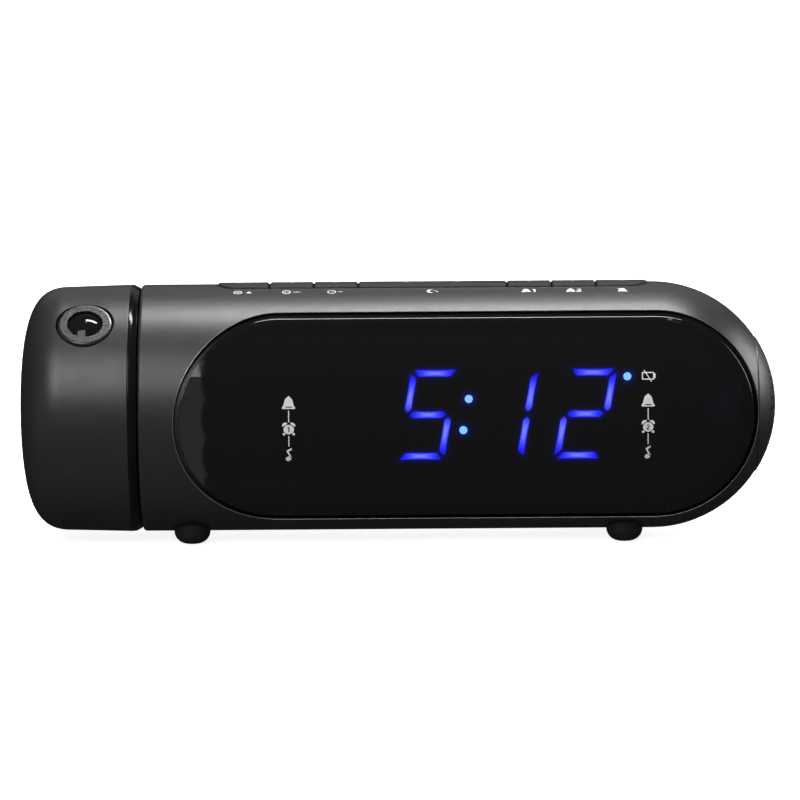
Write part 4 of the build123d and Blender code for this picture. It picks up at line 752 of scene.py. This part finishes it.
# a sheet on the display's face with a painted glow: the bars' and dots' stray light painted on it as
# emission
lo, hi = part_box("display_module")
x0, x1 = lo.x / MM + 0.3, hi.x / MM - 0.3
z0, z1 = lo.z / MM - AXIS_Z + 0.3, hi.z / MM - AXIS_Z - 0.3
STEP = 0.45
nx, nz = int((x1 - x0) / STEP), int((z1 - z0) / STEP)
PAINTED_HALO_REACH = 3.2
spans = [
    (min(p[0] for p in b) - PAINTED_HALO_REACH, max(p[0] for p in b) + PAINTED_HALO_REACH,
     min(p[1] for p in b) - PAINTED_HALO_REACH, max(p[1] for p in b) + PAINTED_HALO_REACH)
    for b in bars
]
work = bmesh.new()
glow = work.verts.layers.float_color.new("glow")
grid = []
for k in range(nz + 1):
    row = []
    for i in range(nx + 1):
        x, z = x0 + (x1 - x0) * i / nx, z0 + (z1 - z0) * k / nz
        # painted glow: light from the bars and the dots painted onto the sheet as emission, fading with the
        # distance to them
        painted_halo = 0.0
        for loop, (a, b, c, d) in zip(bars, spans):
            if a < x < b and c < z < d:
                g = gap_to(loop, x, z)
                painted_halo += 0.10 * math.exp(-g / 0.30) + 0.004 * math.exp(-g / 1.5)
        dot = sum(0.16 * math.exp(-max(0.0, math.hypot(x - dx, z - dz) - DOT_R) / 0.45) for dx, dz in dots)
        v = work.verts.new((x * MM, (DISPLAY_FACE_Y - 0.02) * MM, (AXIS_Z + z) * MM))
        v[glow] = (0.012 * (painted_halo + dot), 0.006 * painted_halo + 0.03 * dot, painted_halo + dot, 1.0)
        row.append(v)
    grid.append(row)
for k in range(nz):
    for i in range(nx):
        work.faces.new((grid[k][i], grid[k][i + 1], grid[k + 1][i + 1], grid[k + 1][i]))
bmesh.ops.recalc_face_normals(work, faces=work.faces)
for face in work.faces:
    if face.normal.y > 0:
        face.normal_flip()
mesh = bpy.data.meshes.new("display_sheet")
work.to_mesh(mesh)
work.free()
sheet = bpy.data.objects.new("display_sheet", mesh)
bpy.context.scene.collection.objects.link(sheet)
mesh.materials.append(glowing("display_sheet", (0.011, 0.011, 0.0115), 1.0 / SEEN).mat)
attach(sheet, "clock_body")

# ------------------------------------------------------------------ camera

scene = bpy.context.scene
DISTANCE = 1.3
ELEVATION = math.radians(8.0)
target = Vector((0.00034, 0.0, AXIS_Z * MM))
up = Vector((0, math.sin(ELEVATION), math.cos(ELEVATION)))
backward = Vector((0, -math.cos(ELEVATION), math.sin(ELEVATION)))
target += up * 0.0015
camera = bpy.data.objects.new("camera", bpy.data.cameras.new("camera"))
scene.collection.objects.link(camera)
camera.data.sensor_width = 36.0
camera.data.lens = 18.0 / (102.04 / 1300.0)
camera.data.clip_start = 0.05
camera.data.clip_end = 50.0
turn = Matrix((Vector((1, 0, 0)), up, backward)).transposed() @ Matrix.Rotation(math.radians(-0.41), 3, "Z")
camera.matrix_world = Matrix.Translation(target + backward * DISTANCE) @ turn.to_4x4()
scene.camera = camera

# ------------------------------------------------------------------ light and floor


def softbox(name, centre, aim, width, height, radiance):
    light = bpy.data.lights.new(name, "AREA")
    light.shape = "RECTANGLE"
    light.size, light.size_y = width, height
    light.energy = radiance * math.pi * width * height
    obj = bpy.data.objects.new(name, light)
    scene.collection.objects.link(obj)
    away = (Vector(centre) - Vector(aim)).normalized()
    side = Vector((1, 0, 0)) if abs(away.x) < 0.9 else Vector((0, 1, 0))
    side = (side - away * side.dot(away)).normalized()
    facing = Matrix((side, away.cross(side), away)).transposed().to_4x4()
    obj.matrix_world = Matrix.Translation(centre) @ facing
    return obj


def around(elevation, distance, x):
    """A place at that angle from the front horizontal, up and over the clock."""
    a = math.radians(elevation)
    return Vector((x, -distance * math.cos(a), AXIS_Z * MM + distance * math.sin(a)))


AIM_Z = 0.033


def facing_axis(name, elevation, distance, x, width, height, radiance):
    """A softbox at that angle up and over the clock, straight on to its long axis."""
    return softbox(name, around(elevation, distance, x), (x, 0, AIM_Z), width, height, radiance)


# just out of the window's reflection: the bands along the body's top and over its left end
facing_axis("top_light", 102.6, 0.9, 0.15, 0.48, 0.14, 47.0)
facing_axis("front_light", 39.0, 1.0, -0.357, 0.52, 0.64, 6.8)
# the glint and the dim crescent at the window's left end
facing_axis("front_light_corner", 46.0, 1.0, -0.0905, 0.005, 0.38, 4.0)
for k in range(4):
    facing_axis(f"side_panel_{k}", 32.5 - 35.0 * k, 1.0, -0.1045, 0.035, 0.63, 0.40)
softbox("right_light", (0.935, 0.51, 0.33), (0.06, 0, AIM_Z), 0.37, 0.55, 6.0)
facing_axis("back_light", 150.0, 1.2, 0.0, 1.2, 0.5, 0.25)
softbox("left_light", (-1.2, -0.5, 0.25), (0, 0, AIM_Z), 1.0, 1.0, 0.15)

floor_mesh = bpy.data.meshes.new("floor")
floor_mesh.from_pydata([(-20, -20, 0), (20, -20, 0), (20, 20, 0), (-20, 20, 0)], [], [(0, 1, 2, 3)])
floor = bpy.data.objects.new("floor", floor_mesh)
scene.collection.objects.link(floor)
floor_white = Finish("floor_white", (0.92, 0.92, 0.92), 0.9)
floor_white.set("Emission Color", (1.0, 1.0, 1.0, 1.0))
floor_white.set("Emission Strength", 0.88)
floor_mesh.materials.append(floor_white.mat)
floor.location.z = -0.0002
floor.visible_diffuse = False
floor.visible_glossy = False

floor_light = bpy.data.objects.new("floor_light", bpy.data.lights.new("floor_light", "SUN"))
floor_light.data.energy = 0.62
floor_light.data.angle = math.radians(70)
scene.collection.objects.link(floor_light)
only_floor = bpy.data.collections.new("lit_by_floor_light")
only_floor.objects.link(floor)
floor_light.light_linking.receiver_collection = only_floor

# a light that only the opening's rim takes
edge_light = facing_axis("edge_light", 35.0, 1.0, 0.0, 1.1, 0.5, 40.0)
only_rim = bpy.data.collections.new("lit_by_edge_light")
only_rim.objects.link(rim)
edge_light.light_linking.receiver_collection = only_rim

world = bpy.data.worlds.new("studio")
scene.world = world
world.use_nodes = True
tree = world.node_tree
background = tree.nodes["Background"]
paths = tree.nodes.new("ShaderNodeLightPath")
white = tree.nodes.new("ShaderNodeBackground")
white.inputs["Color"].default_value = (1, 1, 1, 1)
mix = tree.nodes.new("ShaderNodeMixShader")
background.inputs["Color"].default_value = (1.0, 1.0, 1.0, 1)
# the room is lighter in front of the clock than behind it
room = tree.nodes.new("ShaderNodeTexCoord")
parts = tree.nodes.new("ShaderNodeSeparateXYZ")
shade = tree.nodes.new("ShaderNodeMapRange")
for socket, value in (("From Min", -0.35), ("From Max", 0.80), ("To Min", 0.145), ("To Max", 0.022)):
    shade.inputs[socket].default_value = value
tree.links.new(room.outputs["Generated"], parts.inputs["Vector"])
tree.links.new(parts.outputs["Y"], shade.inputs["Value"])
tree.links.new(shade.outputs["Result"], background.inputs["Strength"])
tree.links.new(paths.outputs["Is Camera Ray"], mix.inputs["Fac"])
tree.links.new(background.outputs["Background"], mix.inputs[1])
tree.links.new(white.outputs["Background"], mix.inputs[2])
tree.links.new(mix.outputs["Shader"], tree.nodes["World Output"].inputs["Surface"])

scene.view_settings.view_transform = "Standard"
scene.view_settings.look = "None"
